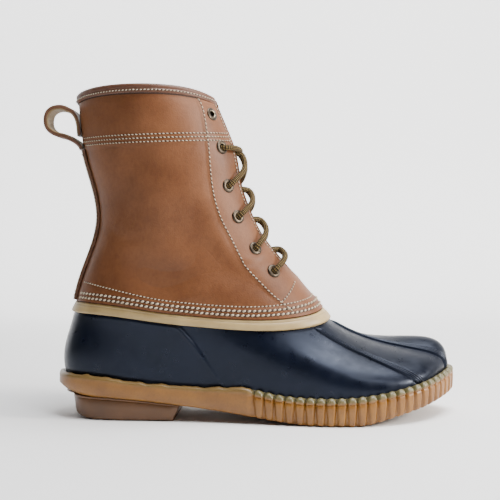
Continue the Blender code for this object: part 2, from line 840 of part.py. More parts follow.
def tongue(finish):
    """A curved sheet behind the throat, set back where the lace runs and against the leather at its foot."""
    top, bottom = TONGUE_TOP, leather_edge(0) + FLANGE_HEIGHT + 2 * GAP
    upper_face, lower_face = [], []
    for share in (0.0, 0.05, 0.12, 0.2, 0.3, 0.4, 0.52, 0.64, 0.76, 0.88, 0.96, 1.0):
        height = bottom + share * (top - bottom)
        set_back = LEATHER + GAP + LACE_ROOM * min(1.0, share / 0.12)
        half = TONGUE_HALF_WIDTH * (0.86 + 0.14 * share) * (1 - 0.35 * max(0.0, share - 0.88) / 0.12)
        turns = [turn_at(height, place_across * half) if place_across else 0.0 for place_across in
                 (-1, -0.72, -0.44, -0.18, 0, 0.18, 0.44, 0.72, 1)]
        upper_face.append([shaft(turn, height, -set_back) for turn in turns])
        lower_face.append([shaft(turn, height, -set_back - TONGUE_THICKNESS) for turn in turns])
    return place("tongue", plate("tongue", upper_face, lower_face), finish)


def collar(finish):
    """The folded binding over the top edge of the leather, open at the throat."""
    inside = -LEATHER - GAP
    section = (
        (GAP, -COLLAR_DEPTH),
        (COLLAR_PROUD, -COLLAR_DEPTH + 0.0008),
        (COLLAR_PROUD + 0.0003, -0.45 * COLLAR_DEPTH),
        (COLLAR_PROUD - 0.0008, -0.0004),
        (inside + 0.0002, 0.0),
        (inside - COLLAR_LINING, -0.0012),
        (inside - COLLAR_LINING, -COLLAR_DEPTH),
        (inside, -COLLAR_DEPTH),
        (inside, -COLLAR_PROUD),
        (GAP, -COLLAR_PROUD),
    )
    end = turn_at(collar_top(0), THROAT_HALF_TOP + 0.0002)
    turns = [end] + [turn for turn in TURNS if turn > end] + [turn for turn in TURNS if turn < -end] + [-end]
    rings = []
    for turn in turns:
        if turn in TURNS:
            rings.append([shaft(turn, collar_top(turn) + up, out) for out, up in section])
            continue
        ring = []
        for out, up in section:
            ring.append(facet_point(turn, lambda column, up=up: collar_top(column) + up, out))
        rings.append(ring)
    return place("collar", loft("collar", rings), finish)


def backstay(finish):
    """The strip over the back seam, from the rim up to the pull loop."""
    outer, inner = [], []
    bottom = leather_edge(180) + GAP
    for share in np.linspace(0, 1, 15):
        height = bottom + share * (BACKSTAY_TOP - bottom)
        turns = [turn_at(height, across * BACKSTAY_WIDTH / 2, 180.0) if across else 180.0 for across in
                 (-1, -0.5, 0, 0.5, 1)]
        thick = [BACKSTAY_THICKNESS * (0.75 if abs(across) == 1 else 1) for across in (-1, -0.5, 0, 0.5, 1)]
        outer.append([shaft(turn, height, 2 * GAP + depth) for turn, depth in zip(turns, thick)])
        inner.append([shaft(turn, height, 2 * GAP) for turn in turns])
    return place("backstay", plate("backstay", outer, inner), finish)


def pull_loop(finish):
    """A strap that leaves the back seam, loops outwards and comes back under the collar."""
    along = np.linspace(0, 1, len(LOOP_PATH["out"]))
    out_at, up_at = cubic(along, LOOP_PATH["out"] * LOOP_REACH), cubic(along, LOOP_PATH["up"] * LOOP_REACH)
    rows = 25
    shares = np.linspace(0, 1, rows)
    middle = []
    for share in shares:
        height = BACKSTAY_TOP + GAP + max(0.0, up_at(share))
        back = shaft_line(180, height)[0]
        away = 3 * GAP + LOOP_THICKNESS / 2 + max(0.0, out_at(share))
        middle.append(np.array([back - away, height]))
    middle = np.array(middle)
    slopes = np.gradient(middle, axis=0)
    slopes /= np.linalg.norm(slopes, axis=1)[:, None]
    faces = ([], [])
    for (x, z), slope, share in zip(middle, slopes, shares):
        across_line = np.array([slope[1], -slope[0]])
        hug = max(0.0, 1 - max(0.0, out_at(share)) / 0.006)
        radius = 0.021
        for face, side in zip(faces, (1, -1)):
            row = []
            for across in (-1, -0.5, 0, 0.5, 1):
                y = across * LOOP_WIDTH / 2
                bend = hug * y * y / (2 * radius)
                row.append((x + bend + side * across_line[0] * LOOP_THICKNESS / 2, y,
                            z + side * across_line[1] * LOOP_THICKNESS / 2))
            face.append(row)
    return place("pull_loop", plate("pull_loop", faces[0], faces[1]), finish)


def eyelets(finish):
    """Turned rings round the lace holes."""
    base = 2 * GAP
    profile = (
        (EYELET_HOLE, base + 0.6 * EYELET_PROUD),
        (0.55 * (EYELET_HOLE + EYELET_FLANGE), base + EYELET_PROUD),
        (EYELET_FLANGE, base),
        (EYELET_HOLE, base),
    )
    sides = 12
    rings = []
    for i in range(sides):
        angle = 2 * math.pi * i / sides
        rings.append([(r * math.cos(angle), r * math.sin(angle), z) for r, z in profile])
    mesh = loft("eyelet", rings, closed_along=True)
    for side_name, side in (("lateral", -1), ("medial", 1)):
        for i, height in enumerate(EYELET_HEIGHTS, 1):
            ring = place(f"eyelet_{side_name}_{i}", mesh, finish)
            _, centre, axis = eyelet_frame(side, height)
            ring.location = centre
            ring.rotation_euler = turned_about(axis)


def lace_point(height, across, out):
    """A point over the throat: across is measured round the leather from the front line."""
    turn = turn_at(height, across) if across else 0.0
    return shaft(turn, height, out)


def lace_strand(side, low, high):
    """From an eyelet on one side, over the throat, to the edge of the throat on the other side, higher up."""
    start = eyelet_reach(low)
    clear = 2 * GAP + EYELET_PROUD + GAP + LACE_RADIUS
    rise = high - low
    route = table(
        "across up out",
        (1.00, 0.00, clear - 0.0004),
        (0.80, 0.10, clear + 0.0003),
        (0.57, 0.26, clear + 0.0010),
        (0.34, 0.46, clear + 0.0009),
        (0.11, 0.66, clear - 0.0008),
        (-0.07, 0.80, 0.0006),
        (-0.22, 0.90, -0.0014),
    )
    at = {name: cubic(np.linspace(0, 1, len(values)), values) for name, values in route.items()}
    points = []
    for share in np.linspace(0, 1, 12):
        height = low + at["up"](share) * rise
        points.append(lace_point(height, side * at["across"](share) * start, at["out"](share)))
    return points


def laces(finish):
    """Criss-cross lacing from the sixth to the third eyelets, and a bar at the second."""
    for level in range(3, 7):
        low, high = EYELET_HEIGHTS[level - 1], EYELET_HEIGHTS[level - 2]
        names = [f"lace_cross_{level}", f"lace_cross_{level}_other"]
        strands = [lace_strand(side, low, high) for side in (-1, 1)]
        meshes = [tube_mesh(name, strand, LACE_RADIUS) for name, strand in zip(names, strands)]
        piece = place(names[0], meshes[0], finish)
        boolean(piece, cutter(names[1], meshes[1]), "UNION")
    clear = 3 * GAP + EYELET_PROUD + LACE_RADIUS
    reach = eyelet_reach(EYELET_HEIGHTS[1])
    second = EYELET_HEIGHTS[1]
    top = []
    for share in np.linspace(-1, 1, 15):
        out = clear + 0.0004 - 0.0018 * math.cos(share * math.pi / 2) ** 3
        top.append(lace_point(second, share * reach, out))
    place("lace_bar_top", tube_mesh("lace_bar_top", top, LACE_RADIUS), finish)


for old in list(bpy.data.objects):
    bpy.data.objects.remove(old, do_unlink=True)

parts = collection("duck_boot_parts")
tools = collection("cutters")
stand = bpy.data.objects.new("duck_boot", None)
parts.objects.link(stand)
stand.location = (-REST_POINT, 0, 0)

gum = material("gum_rubber", (0.40, 0.20, 0.07), 0.45)
navy = material("navy_rubber", (0.010, 0.016, 0.040), 0.22)
cream = material("cream_rubber", (0.48, 0.36, 0.18), 0.5)
tan = material("tan_leather", (0.42, 0.20, 0.11), 0.55)
binding = material("binding_leather", (0.26, 0.11, 0.06), 0.5)
lining = material("insole_fabric", (0.30, 0.26, 0.22), 0.9)
brass = material("antique_brass", (0.45, 0.36, 0.22), 0.35, metallic=1.0)
cord = material("lace_cord", (0.10, 0.06, 0.03), 0.8)

outsole(gum)
heel(gum)
insole(lining)
shell(navy)
rim_band(cream)
upper(tan)
tongue(tan)
collar(binding)
backstay(tan)
pull_loop(tan)
eyelets(brass)
laces(cord)
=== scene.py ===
"""Looks of the duck boot: its surfaces at a fine step, with creases, seams, stitches, lace and finishes."""

import math

import bmesh
import bpy
import numpy as np
from mathutils import Matrix, Vector


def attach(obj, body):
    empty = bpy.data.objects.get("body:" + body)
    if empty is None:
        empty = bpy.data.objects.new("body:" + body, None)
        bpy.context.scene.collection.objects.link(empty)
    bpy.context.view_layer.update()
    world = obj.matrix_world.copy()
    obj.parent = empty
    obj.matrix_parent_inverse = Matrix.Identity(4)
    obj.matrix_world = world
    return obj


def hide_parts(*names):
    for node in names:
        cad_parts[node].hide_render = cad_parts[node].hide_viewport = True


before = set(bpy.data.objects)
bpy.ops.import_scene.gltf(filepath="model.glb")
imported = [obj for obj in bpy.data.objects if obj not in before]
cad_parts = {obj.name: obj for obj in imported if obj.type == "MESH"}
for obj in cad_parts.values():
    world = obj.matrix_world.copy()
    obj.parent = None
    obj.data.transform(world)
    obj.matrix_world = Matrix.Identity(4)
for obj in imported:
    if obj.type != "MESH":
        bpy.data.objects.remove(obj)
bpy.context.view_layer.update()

# Driving sizes of the whole boot
SOLE_LENGTH = 0.303
BALL_WIDTH = 0.106
BOOT_HEIGHT = 0.246
SHAFT_WIDTH = 0.087
REST_POINT = 0.048

# Sole sizes
FOXING_WALL = 0.0026
RIB_DEPTH = 0.0020
RIB_PITCH = 0.0075
RIBS_EACH_SIDE = 23
RIB_START_TURN = -88.0
FLOOR_THICKNESS = 0.0080
HEEL_BREAST = 0.0935
HEEL_SLANT = 0.0040
HEEL_INSET = 0.0026
HEEL_SET_BACK = 0.0085
HEEL_SLOPE = 0.0075
HEEL_TAPER = 0.0012
INSOLE_THICKNESS = 0.0040
INSOLE_MARGIN = 0.0010

# Rubber lower and its rim
SHELL_WALL = 0.0025
FLANGE_HEIGHT = 0.0080
MOCCASIN_RIDGE = 0.0013
NEAR_RIDGE_TURN = -26.0
FAR_RIDGE_TURN = 2.0
RIDGE_HALF_TURN = 2.2
RIM_HEIGHT = 0.0084
RIM_PROUD = 0.0004

# Leather upper
LEATHER = 0.0020
COLLAR_DEPTH = 0.0068
COLLAR_PROUD = 0.0011
COLLAR_LINING = 0.0010
THROAT_HALF_TOP = 0.0085
THROAT_HALF_MIDDLE = 0.0105
THROAT_BOTTOM = 0.4248 * BOOT_HEIGHT
TONGUE_HALF_WIDTH = 0.0270
TONGUE_THICKNESS = 0.0022
TONGUE_TOP = 0.9634 * BOOT_HEIGHT
LACE_ROOM = 0.0036
BACKSTAY_WIDTH = 0.0230
BACKSTAY_THICKNESS = 0.0017
BACKSTAY_TOP = 0.8220 * BOOT_HEIGHT
LOOP_WIDTH = 0.0200
LOOP_REACH = 0.0234
LOOP_THICKNESS = 0.0027

# Eyelets and lace
EYELET_HOLE = 0.0027
EYELET_PROUD = 0.0009
EYELET_FROM_EDGE = 0.0135
EYELET_FROM_EDGE_LOW = 0.0172
EYELET_HEIGHTS = tuple(share * BOOT_HEIGHT for share in (0.917, 0.817, 0.701, 0.608, 0.512, 0.444))
LACE_RADIUS = 0.0021

GAP = 0.0003
SHELL_GAP = 0.0005


def table(columns, *rows):
    """Columns by name, each as an array."""
    return dict(zip(columns.split(), np.array(rows, float).T))


# The sole's edge seen from above: along is a share of SOLE_LENGTH, across of BALL_WIDTH.
SOLE_EDGE = table(
    "turn along across",
    (-160, 0.041, -0.236),
    (-138, 0.152, -0.338),
    (-112, 0.323, -0.363),
    (-90, 0.485, -0.415),
    (-70, 0.627, -0.486),
    (-48, 0.766, -0.492),
    (-26, 0.898, -0.335),
    (-8, 0.967, -0.113),
    (10, 1.000, 0.113),
    (28, 0.970, 0.311),
    (48, 0.865, 0.453),
    (70, 0.710, 0.472),
    (90, 0.545, 0.368),
    (112, 0.356, 0.307),
    (138, 0.165, 0.322),
    (160, 0.043, 0.236),
    (180, 0.000, 0.000),
)

# Side view of the sole: along is a share of SOLE_LENGTH, heights are shares of BOOT_HEIGHT.
UNDERSIDE = table(
    "along height",
    (0.000, 0.0710),
    (0.110, 0.0690),
    (0.190, 0.0640),
    (0.310, 0.0490),
    (0.395, 0.0370),
    (0.470, 0.0240),
    (0.540, 0.0110),
    (0.600, 0.0030),
    (0.650, 0.0000),
    (0.745, 0.0000),
    (0.850, 0.0240),
    (0.905, 0.0385),
    (0.950, 0.0515),
    (1.000, 0.0680),
)
FOXING_TOP = table(
    "along height",
    (0.000, 0.1360),
    (0.130, 0.1310),
    (0.200, 0.1190),
    (0.300, 0.1090),
    (0.400, 0.1040),
    (0.490, 0.1040),
    (0.540, 0.0920),
    (0.640, 0.0820),
    (0.720, 0.0830),
    (0.800, 0.0920),
    (0.870, 0.1060),
    (0.930, 0.1200),
    (1.000, 0.1420),
)

# Level sections of the shaft: back and front are shares of SOLE_LENGTH, half of SHAFT_WIDTH.
# widest is where the section is widest, from back to front. Fullness above 0 rounds an end,
# below 0 narrows it.
SHAFT = table(
    "height back front half widest full_back full_front",
    (0.268, 0.0135, 0.7060, 0.490, 0.55, 0.25, 0.20),
    (0.309, 0.0280, 0.6830, 0.482, 0.53, 0.24, 0.19),
    (0.350, 0.0430, 0.6550, 0.474, 0.51, 0.18, 0.17),
    (0.390, 0.0515, 0.6270, 0.466, 0.50, 0.12, 0.14),
    (0.455, 0.0690, 0.5845, 0.460, 0.48, 0.04, 0.08),
    (0.528, 0.0915, 0.5370, 0.455, 0.47, -0.08, 0.00),
    (0.610, 0.1050, 0.5005, 0.457, 0.48, -0.17, -0.06),
    (0.700, 0.0950, 0.4740, 0.472, 0.50, -0.21, -0.09),
    (0.821, 0.0690, 0.4540, 0.492, 0.52, -0.22, -0.10),
    (0.915, 0.0600, 0.4220, 0.500, 0.53, -0.22, -0.09),
    (1.000, 0.0540, 0.3935, 0.500, 0.53, -0.21, -0.08),
)

# Lower edge of the leather and top of the collar, by turn, the same on both sides: shares of BOOT_HEIGHT.
LEATHER_EDGE = table(
    "turn height",
    (0, 0.3310),
    (15, 0.3250),
    (30, 0.3160),
    (45, 0.3085),
    (65, 0.3050),
    (85, 0.3130),
    (103, 0.3260),
    (122, 0.3430),
    (150, 0.3540),
    (180, 0.3550),
)
COLLAR_TOP = table(
    "turn height",
    (0, 0.9750),
    (20, 0.9810),
    (45, 0.9930),
    (90, 1.0000),
    (140, 0.9970),
    (180, 0.9890),
)

# How the rubber lower rises from the sole to the rim: rise and drop are shares of its height there,
# run of its reach there, bulge of BALL_WIDTH.
LOWER = table(
    "turn rise bulge run drop",
    (-160, 0.42, 0.034, 0.30, 0.30),
    (-138, 0.41, 0.026, 0.30, 0.30),
    (-112, 0.42, 0.020, 0.30, 0.30),
    (-90, 0.46, 0.022, 0.32, 0.30),
    (-70, 0.44, 0.022, 0.40, 0.36),
    (-48, 0.36, 0.010, 0.46, 0.52),
    (-26, 0.26, 0.004, 0.44, 0.62),
    (-8, 0.46, 0.030, 0.46, 0.72),
    (2, 0.62, 0.050, 0.47, 0.76),
    (14, 1.12, 0.062, 0.49, 0.80),
    (28, 1.04, 0.044, 0.48, 0.75),
    (48, 0.78, 0.024, 0.46, 0.56),
    (70, 0.56, 0.022, 0.40, 0.36),
    (90, 0.46, 0.022, 0.32, 0.30),
    (112, 0.42, 0.020, 0.30, 0.30),
    (138, 0.41, 0.026, 0.30, 0.30),
    (160, 0.42, 0.034, 0.30, 0.30),
    (180, 0.42, 0.038, 0.30, 0.30),
)

# Path of the pull loop behind the shaft, in shares of LOOP_REACH: out is behind the leather's back line,
# up is above the loop's lower end.
LOOP_PATH = table(
    "out up",
    (0.00, 0.00),
    (0.07, 0.17),
    (0.33, 0.38),
    (0.66, 0.48),
    (0.92, 0.66),
    (0.98, 0.94),
    (0.85, 1.24),
    (0.53, 1.36),
    (0.23, 1.28),
    (0.06, 1.08),
    (0.00, 0.76),
    (0.00, 0.44),
)


def cubic(keys, values, period=None):
    """A smooth curve through the values: closed when it has a period, otherwise straight beyond its ends."""
    keys = np.asarray(keys, float)
    values = np.asarray(values, float)
    if period:
        keys = np.append(keys, keys[0] + period)
        values = np.append(values, values[0])
    step = np.diff(keys)
    slope = np.diff(values) / step
    count = len(keys)
    system = np.zeros((count, count))
    right = np.zeros(count)
    for i in range(1, count - 1):
        system[i, i - 1 : i + 2] = step[i - 1], 2 * (step[i - 1] + step[i]), step[i]
        right[i] = 6 * (slope[i] - slope[i - 1])
    if period:
        system[0, 0], system[0, -1] = 1, -1
        system[-1, 0], system[-1, 1] = 2 * step[0], step[0]
        system[-1, -1], system[-1, -2] = 2 * step[-1], step[-1]
        right[-1] = 6 * (slope[0] - slope[-1])
    else:
        system[0, 0] = system[-1, -1] = 1
    bend = np.linalg.solve(system, right)

    def at(key):
        if period:
            key = keys[0] + (key - keys[0]) % period
        i = int(np.clip(np.searchsorted(keys, key) - 1, 0, count - 2))
        h = step[i]
        before, after = key - keys[i], keys[i + 1] - key
        if before < 0 or after < 0:
            edge = 0 if before < 0 else count - 1
            lean = slope[0] - h * bend[1] / 6 if before < 0 else slope[-1] + h * bend[-2] / 6
            return values[edge] + lean * (key - keys[edge])
        curved = (bend[i] * (after**3 / h - h * after) + bend[i + 1] * (before**3 / h - h * before)) / 6
        return curved + (values[i] * after + values[i + 1] * before) / h

    return at


def monotone(keys, values):
    """A smooth curve through the values that stays flat between two equal ones."""
    keys = np.asarray(keys, float)
    values = np.asarray(values, float)
    slope = np.diff(values) / np.diff(keys)
    lean = np.zeros(len(keys))
    both = slope[:-1] * slope[1:]
    inner = np.where(both > 0, 2 * both / np.where(both > 0, slope[:-1] + slope[1:], 1), 0)
    lean[1:-1] = inner
    lean[0], lean[-1] = slope[0], slope[-1]

    def at(key):
        key = min(max(key, keys[0]), keys[-1])
        i = int(np.clip(np.searchsorted(keys, key) - 1, 0, len(keys) - 2))
        h = keys[i + 1] - keys[i]
        t = (key - keys[i]) / h
        start = (1 + 2 * t) * (1 - t) ** 2 * values[i] + t * (1 - t) ** 2 * h * lean[i]
        return start + t * t * (3 - 2 * t) * values[i + 1] + t * t * (t - 1) * h * lean[i + 1]

    return at


def two_sided(rows, column):
    """A closed curve by turn from a table that gives one side."""
    turns = list(rows["turn"])
    values = list(rows[column])
    mirrored = [-turn for turn in turns[-2:0:-1]]
    return cubic(mirrored + turns, values[-2:0:-1] + values, period=360)


def each(line, places):
    """A line's values at many places."""
    return np.array([line(place) for place in places])


sole_along = cubic(SOLE_EDGE["turn"], SOLE_EDGE["along"], period=360)
sole_across = cubic(SOLE_EDGE["turn"], SOLE_EDGE["across"], period=360)
underside_share = monotone(UNDERSIDE["along"], UNDERSIDE["height"])
foxing_share = cubic(FOXING_TOP["along"], FOXING_TOP["height"])
shaft_share = {name: cubic(SHAFT["height"], SHAFT[name]) for name in SHAFT if name != "height"}
edge_share = two_sided(LEATHER_EDGE, "height")
collar_share = two_sided(COLLAR_TOP, "height")
# Levels of the sole's side, from its lower edge to its top: inset inwards, up is a share of its height.
RIB_LEVELS = table(
    "inset up added",
    (0.0030, 0.00, 0.0),
    (0.0014, 0.00, 0.0009),
    (0.0006, 0.06, 0.0010),
    (0.0003, 0.18, 0.0),
    (0.0001, 0.34, 0.0),
    (0.0000, 0.48, 0.0),
    (0.0000, 0.62, 0.0),
    (0.0001, 0.71, 0.0),
    (0.0007, 0.755, 0.0),
    (0.0001, 0.79, 0.0),
    (0.0000, 0.85, 0.0),
    (0.0003, 0.91, 0.0),
    (0.0009, 0.96, 0.0),
    (0.0018, 0.99, 0.0),
    (0.0032, 1.0, 0.0),
)
CAP_GROOVE_UPS = (0.71, 0.755, 0.79)
CAP_START = 0.755
SCALLOP = 0.0030

# Levels of the heel block, from the ground up: share of its height, how much of the taper and slant is left.
HEEL_LEVELS = table(
    "inset share added back",
    (0.0024, 0.0, 0.0, 1.0),
    (0.0014, 0.0, 0.0004, 1.0),
    (0.0007, 0.0, 0.0012, 1.0),
    (0.0003, 0.0, 0.0030, 0.9),
    (0.0004, 0.55, 0.0, 0.45),
    (0.0002, 0.86, 0.0, 0.15),
    (0.0007, 0.90, 0.0, 0.1),
    (0.0001, 0.93, 0.0, 0.05),
    (0.0, 1.0, -GAP, 0.0),
)

# Section of an eyelet: distance from its axis, and above the leather's face.
EYELET_SECTION = table(
    "radius out",
    (0.00225, -LEATHER - 0.0003),
    (0.00225, 2 * GAP + 0.0002),
    (0.00250, 2 * GAP + 0.0006),
    (0.00300, 2 * GAP + 0.00085),
    (0.00370, 2 * GAP + 0.00085),
    (0.00455, 2 * GAP + 0.00070),
    (0.00505, 2 * GAP + 0.00035),
    (0.00520, 2 * GAP - 0.0002),
    (0.00500, 2 * GAP - 0.0004),
    (0.00265, 2 * GAP - 0.0004),
    (0.00265, -LEATHER - 0.0003),
)
# The face of the eyelet's section painted in the paler finish, a pale ring near the edge of the hole
PALE_RING_FACE = 2

FINE_SHARES = np.linspace(0.2, 1.1, 1801)
SHAFT_FINE = {name: each(at, FINE_SHARES) for name, at in shaft_share.items()}
lower_share = {name: cubic(LOWER["turn"], LOWER[name], period=360) for name in LOWER if name != "turn"}


def unit(vector):
    """The vector, or each of an array of them, at length 1."""
    return vector / np.linalg.norm(vector, axis=-1, keepdims=True)


def gone_along(path):
    """How far along a path each of its points lies."""
    return np.concatenate([[0], np.cumsum(np.linalg.norm(np.diff(path, axis=0), axis=1))])


def smooth(value, low, high):
    """A soft step from 0 at low to 1 at high."""
    t = np.clip((value - low) / (high - low), 0, 1)
    return t * t * (3 - 2 * t)


def sole_edge(turn, inset=0.0):
    """The sole's edge from above, moved inwards by inset."""
    point = np.array([sole_along(turn) * SOLE_LENGTH, sole_across(turn) * BALL_WIDTH])
    if not inset:
        return point
    along = unit(sole_edge(turn + 0.5) - sole_edge(turn - 0.5))
    return point + inset * np.array([-along[1], along[0]])


def heel_slope(x):
    """How far the foxing's lower edge runs inwards at the back, above the heel block."""
    return HEEL_SLOPE * math.exp(-((x / 0.075 / SOLE_LENGTH) ** 2))


def heel_edge(turn, inset):
    """The heel block's outline, set forward at the back."""
    x, y = sole_edge(turn, inset)
    return np.array([x + HEEL_SET_BACK * max(0.0, -math.cos(math.radians(turn))) ** 8, y])


def underside(x):
    return underside_share(x / SOLE_LENGTH) * BOOT_HEIGHT


def foxing_top(x):
    return foxing_share(x / SOLE_LENGTH) * BOOT_HEIGHT


def floor(x):
    return underside(x) + FLOOR_THICKNESS


def leather_edge(turn):
    return edge_share(turn) * BOOT_HEIGHT


def collar_top(turn):
    return collar_share(turn) * BOOT_HEIGHT


def leather(turn, height):
    """Points of the leather's outer face, for a turn and a height or arrays of them."""
    turn, height = np.broadcast_arrays(np.asarray(turn, float), np.asarray(height, float))
    share = height / BOOT_HEIGHT
    value = {name: np.interp(share, FINE_SHARES, fine) for name, fine in SHAFT_FINE.items()}
    back, front = value["back"] * SOLE_LENGTH, value["front"] * SOLE_LENGTH
    middle = back + value["widest"] * (front - back)
    along, across = np.cos(np.radians(turn)), np.sin(np.radians(turn))
    ahead = along > 0
    reach = np.where(ahead, front - middle, middle - back)
    full = np.where(ahead, value["full_front"], value["full_back"])
    y = value["half"] * SHAFT_WIDTH * across * (1 + full * along**2)
    return np.stack([middle + reach * along, y, height], -1)


def leather_normal(turn, height):
    """The outward direction of the leather at each point."""
    turn, height = np.broadcast_arrays(np.asarray(turn, float), np.asarray(height, float))
    around = leather(turn + 0.5, height) - leather(turn - 0.5, height)
    up = leather(turn, height + 0.001) - leather(turn, height - 0.001)
    return unit(np.cross(around, up))


def leather_out(turn, height, out=0.0):
    """Points at a distance outside the leather's outer face."""
    return leather(turn, height) + np.asarray(out, float)[..., None] * leather_normal(turn, height)


def turn_at(height, distance, start=0.0):
    """The turn that lies a distance round the leather from the start turn, on a level section."""
    step = math.copysign(0.5, distance)
    turn, gone = start, 0.0
    while gone < abs(distance):
        here = np.linalg.norm(leather(turn + step, height) - leather(turn, height))
        share = min(1.0, (abs(distance) - gone) / here)
        turn += share * step
        gone += here
    return turn


def shell_seat(turn):
    """Where the rubber lower leaves the sole, in its outer face."""
    x, y = sole_edge(turn, RIB_DEPTH + FOXING_WALL + SHELL_GAP)
    return np.array([x, y, foxing_top(x)])


def ladder(ring):
    """Faces across a closed ring of point numbers, rung by rung, from its first point to the one opposite."""
    count = len(ring)
    half = count // 2
    faces = [(ring[0], ring[1], ring[-1])]
    for i in range(1, count - half - 1):
        faces.append((ring[i], ring[i + 1], ring[count - i - 1], ring[count - i]))
    if count % 2 == 0:
        faces.append((ring[half - 1], ring[half], ring[half + 1]))
    return faces


def arc_turns(start, end, count):
    """Turns between two others that part the sole's edge into equal lengths."""
    dense = np.linspace(start, end, 400)
    gone = gone_along(each(sole_edge, dense))
    return np.interp(np.linspace(0, gone[-1], count + 1), gone, dense)


def rib_end_turn():
    """The medial turn where the ribs end, as far round the edge as the rib pitch takes them."""
    dense = np.linspace(RIB_START_TURN, 130, 900)
    return float(np.interp(2 * RIBS_EACH_SIDE * RIB_PITCH, gone_along(each(sole_edge, dense)), dense))


def eyelet_reach(height):
    """How far to the side an eyelet sits from the front line: the rows spread towards the instep."""
    half = THROAT_HALF_MIDDLE if height < 0.88 * BOOT_HEIGHT else THROAT_HALF_TOP
    share = (EYELET_HEIGHTS[0] - height) / (EYELET_HEIGHTS[0] - EYELET_HEIGHTS[-1])
    return half + EYELET_FROM_EDGE + share * (EYELET_FROM_EDGE_LOW - EYELET_FROM_EDGE)


def eyelet_frame(side, height):
    """The middle of an eyelet on the leather, its axis and two directions across."""
    turn = turn_at(height, side * eyelet_reach(height))
    axis = leather_normal(turn, height)
    first = unit(np.cross(axis, (0, 0, 1.0)))
    return leather(turn, height), axis, first, np.cross(axis, first)


def lace_point(height, across, out):
    """A point over the throat: across is measured round the leather from the front line."""
    turn = turn_at(height, across) if across else 0.0
    return leather_out(turn, height, out)


# Finer counts and small forms that only the picture needs
AROUND = 384
EYELET_SIDES = 32
LACE_SIDES = 14
RIB_SAMPLES = 10
TREAD_DEPTH = 0.0009
TREAD_PITCH = 0.0062
TREAD_WAVE = 0.0110
TREAD_SWING = 0.0016
TREAD_BAR = 0.0026
TREAD_BITE = 0.0004
TREAD_MARGIN = 0.0080
FOOT_INSET = 0.0055
HEEL_SKEW = 0.0036
HEEL_WEAR = 0.0042
HEEL_WEAR_LENGTH = 0.024
PRESS_LENGTH = 0.006
RIDGE_FOOT_TURN = 2.6
RIDGE_RIM_TURN = -6.0
RIDGE_SPREAD_WIDTH = 22.0
COUNTER_STEP = 0.0012
COUNTER_CREST = 0.0009
RIPPLE = 0.00018
STAY_STEP = 0.00040
HEM_STEP = 0.00045
CUFF_STEP = 0.00035
COUNTER_FROM = 0.070
COUNTER_TO = 0.135
HEM_ROWS = (0.0028, 0.0060, 0.0092)
CUFF_ROWS = (0.0, -0.0027, -0.0054)

# Kinds of stitching: pitch, thread radius, how far the stitches lean, how much of the pitch they fill,
# and the width of the dark strip of painted shade under them
HEM_STITCH = {"pitch": 0.0037, "radius": 0.00074, "lean": 0.45, "fill": 0.66, "line": 0.0022}
UPPER_STITCH = {"pitch": 0.0028, "radius": 0.00042, "lean": 0.25}
CUFF_STITCH = {"pitch": 0.0028, "radius": 0.00040}
SEAM_STITCH = {"radius": 0.00044, "lean": 0.35, "line": 0.0010}
THROAT_STITCH = {"pitch": 0.0027, "radius": 0.00038, "lean": 0.3}
EDGE_STITCH = {"pitch": 0.0027, "radius": 0.00038, "lean": 0.2}
END_STITCH = {"pitch": 0.0027, "radius": 0.00040, "lean": 0.2}
SEAM_PITCH = 0.0031
FRONT_PITCH = 0.0026
STITCH_SECTION = ((-0.5, 0.45), (-0.34, 0.9), (0.0, 1.0), (0.34, 0.9), (0.5, 0.45))
BRAID_STRANDS = 5.0
BRAID_PITCH = 0.0028

# The studio: where the floor starts to curve up, how wide the curve is, and how bright it gets
SWEEP_START = 0.8
SWEEP_RADIUS = 0.7
BACKDROP_GLOW = 1.8
LIT_POINT = (0.09, 0, 0.11)

# The camera of the photograph: its target, direction, roll, distance and lens
TARGET = (0.147587 - REST_POINT, 0.0, 0.124477)
AZIMUTH = 3.0
ELEVATION = 1.389
ROLL = -0.424
DISTANCE = 0.700
LENS = 65.94

# The eyestay's seam and its front edge, seen from the side: along the sole and above the ground
EYESTAY_SEAM = table(
    "x z",
    (0.1110, 0.2370),
    (0.1150, 0.2260),
    (0.1180, 0.2100),
    (0.1195, 0.1980),
    (0.1210, 0.1780),
    (0.1240, 0.1600),
    (0.1290, 0.1460),
    (0.1340, 0.1360),
    (0.1420, 0.1200),
    (0.1475, 0.1110),
    (0.1570, 0.1010),
    (0.1670, 0.0910),
    (0.1800, 0.0800),
)
EYESTAY_FRONT = table(
    "x z",
    (0.1815, 0.1010),
    (0.1790, 0.0955),
    (0.1755, 0.0905),
    (0.1715, 0.0865),
)

# Edge of the heel counter moulded into the rubber lower, seen from the side
COUNTER_EDGE = table(
    "x z",
    (0.0800, 0.0790),
    (0.0900, 0.0748),
    (0.0985, 0.0690),
    (0.1065, 0.0600),
    (0.1150, 0.0480),
    (0.1250, 0.0330),
)

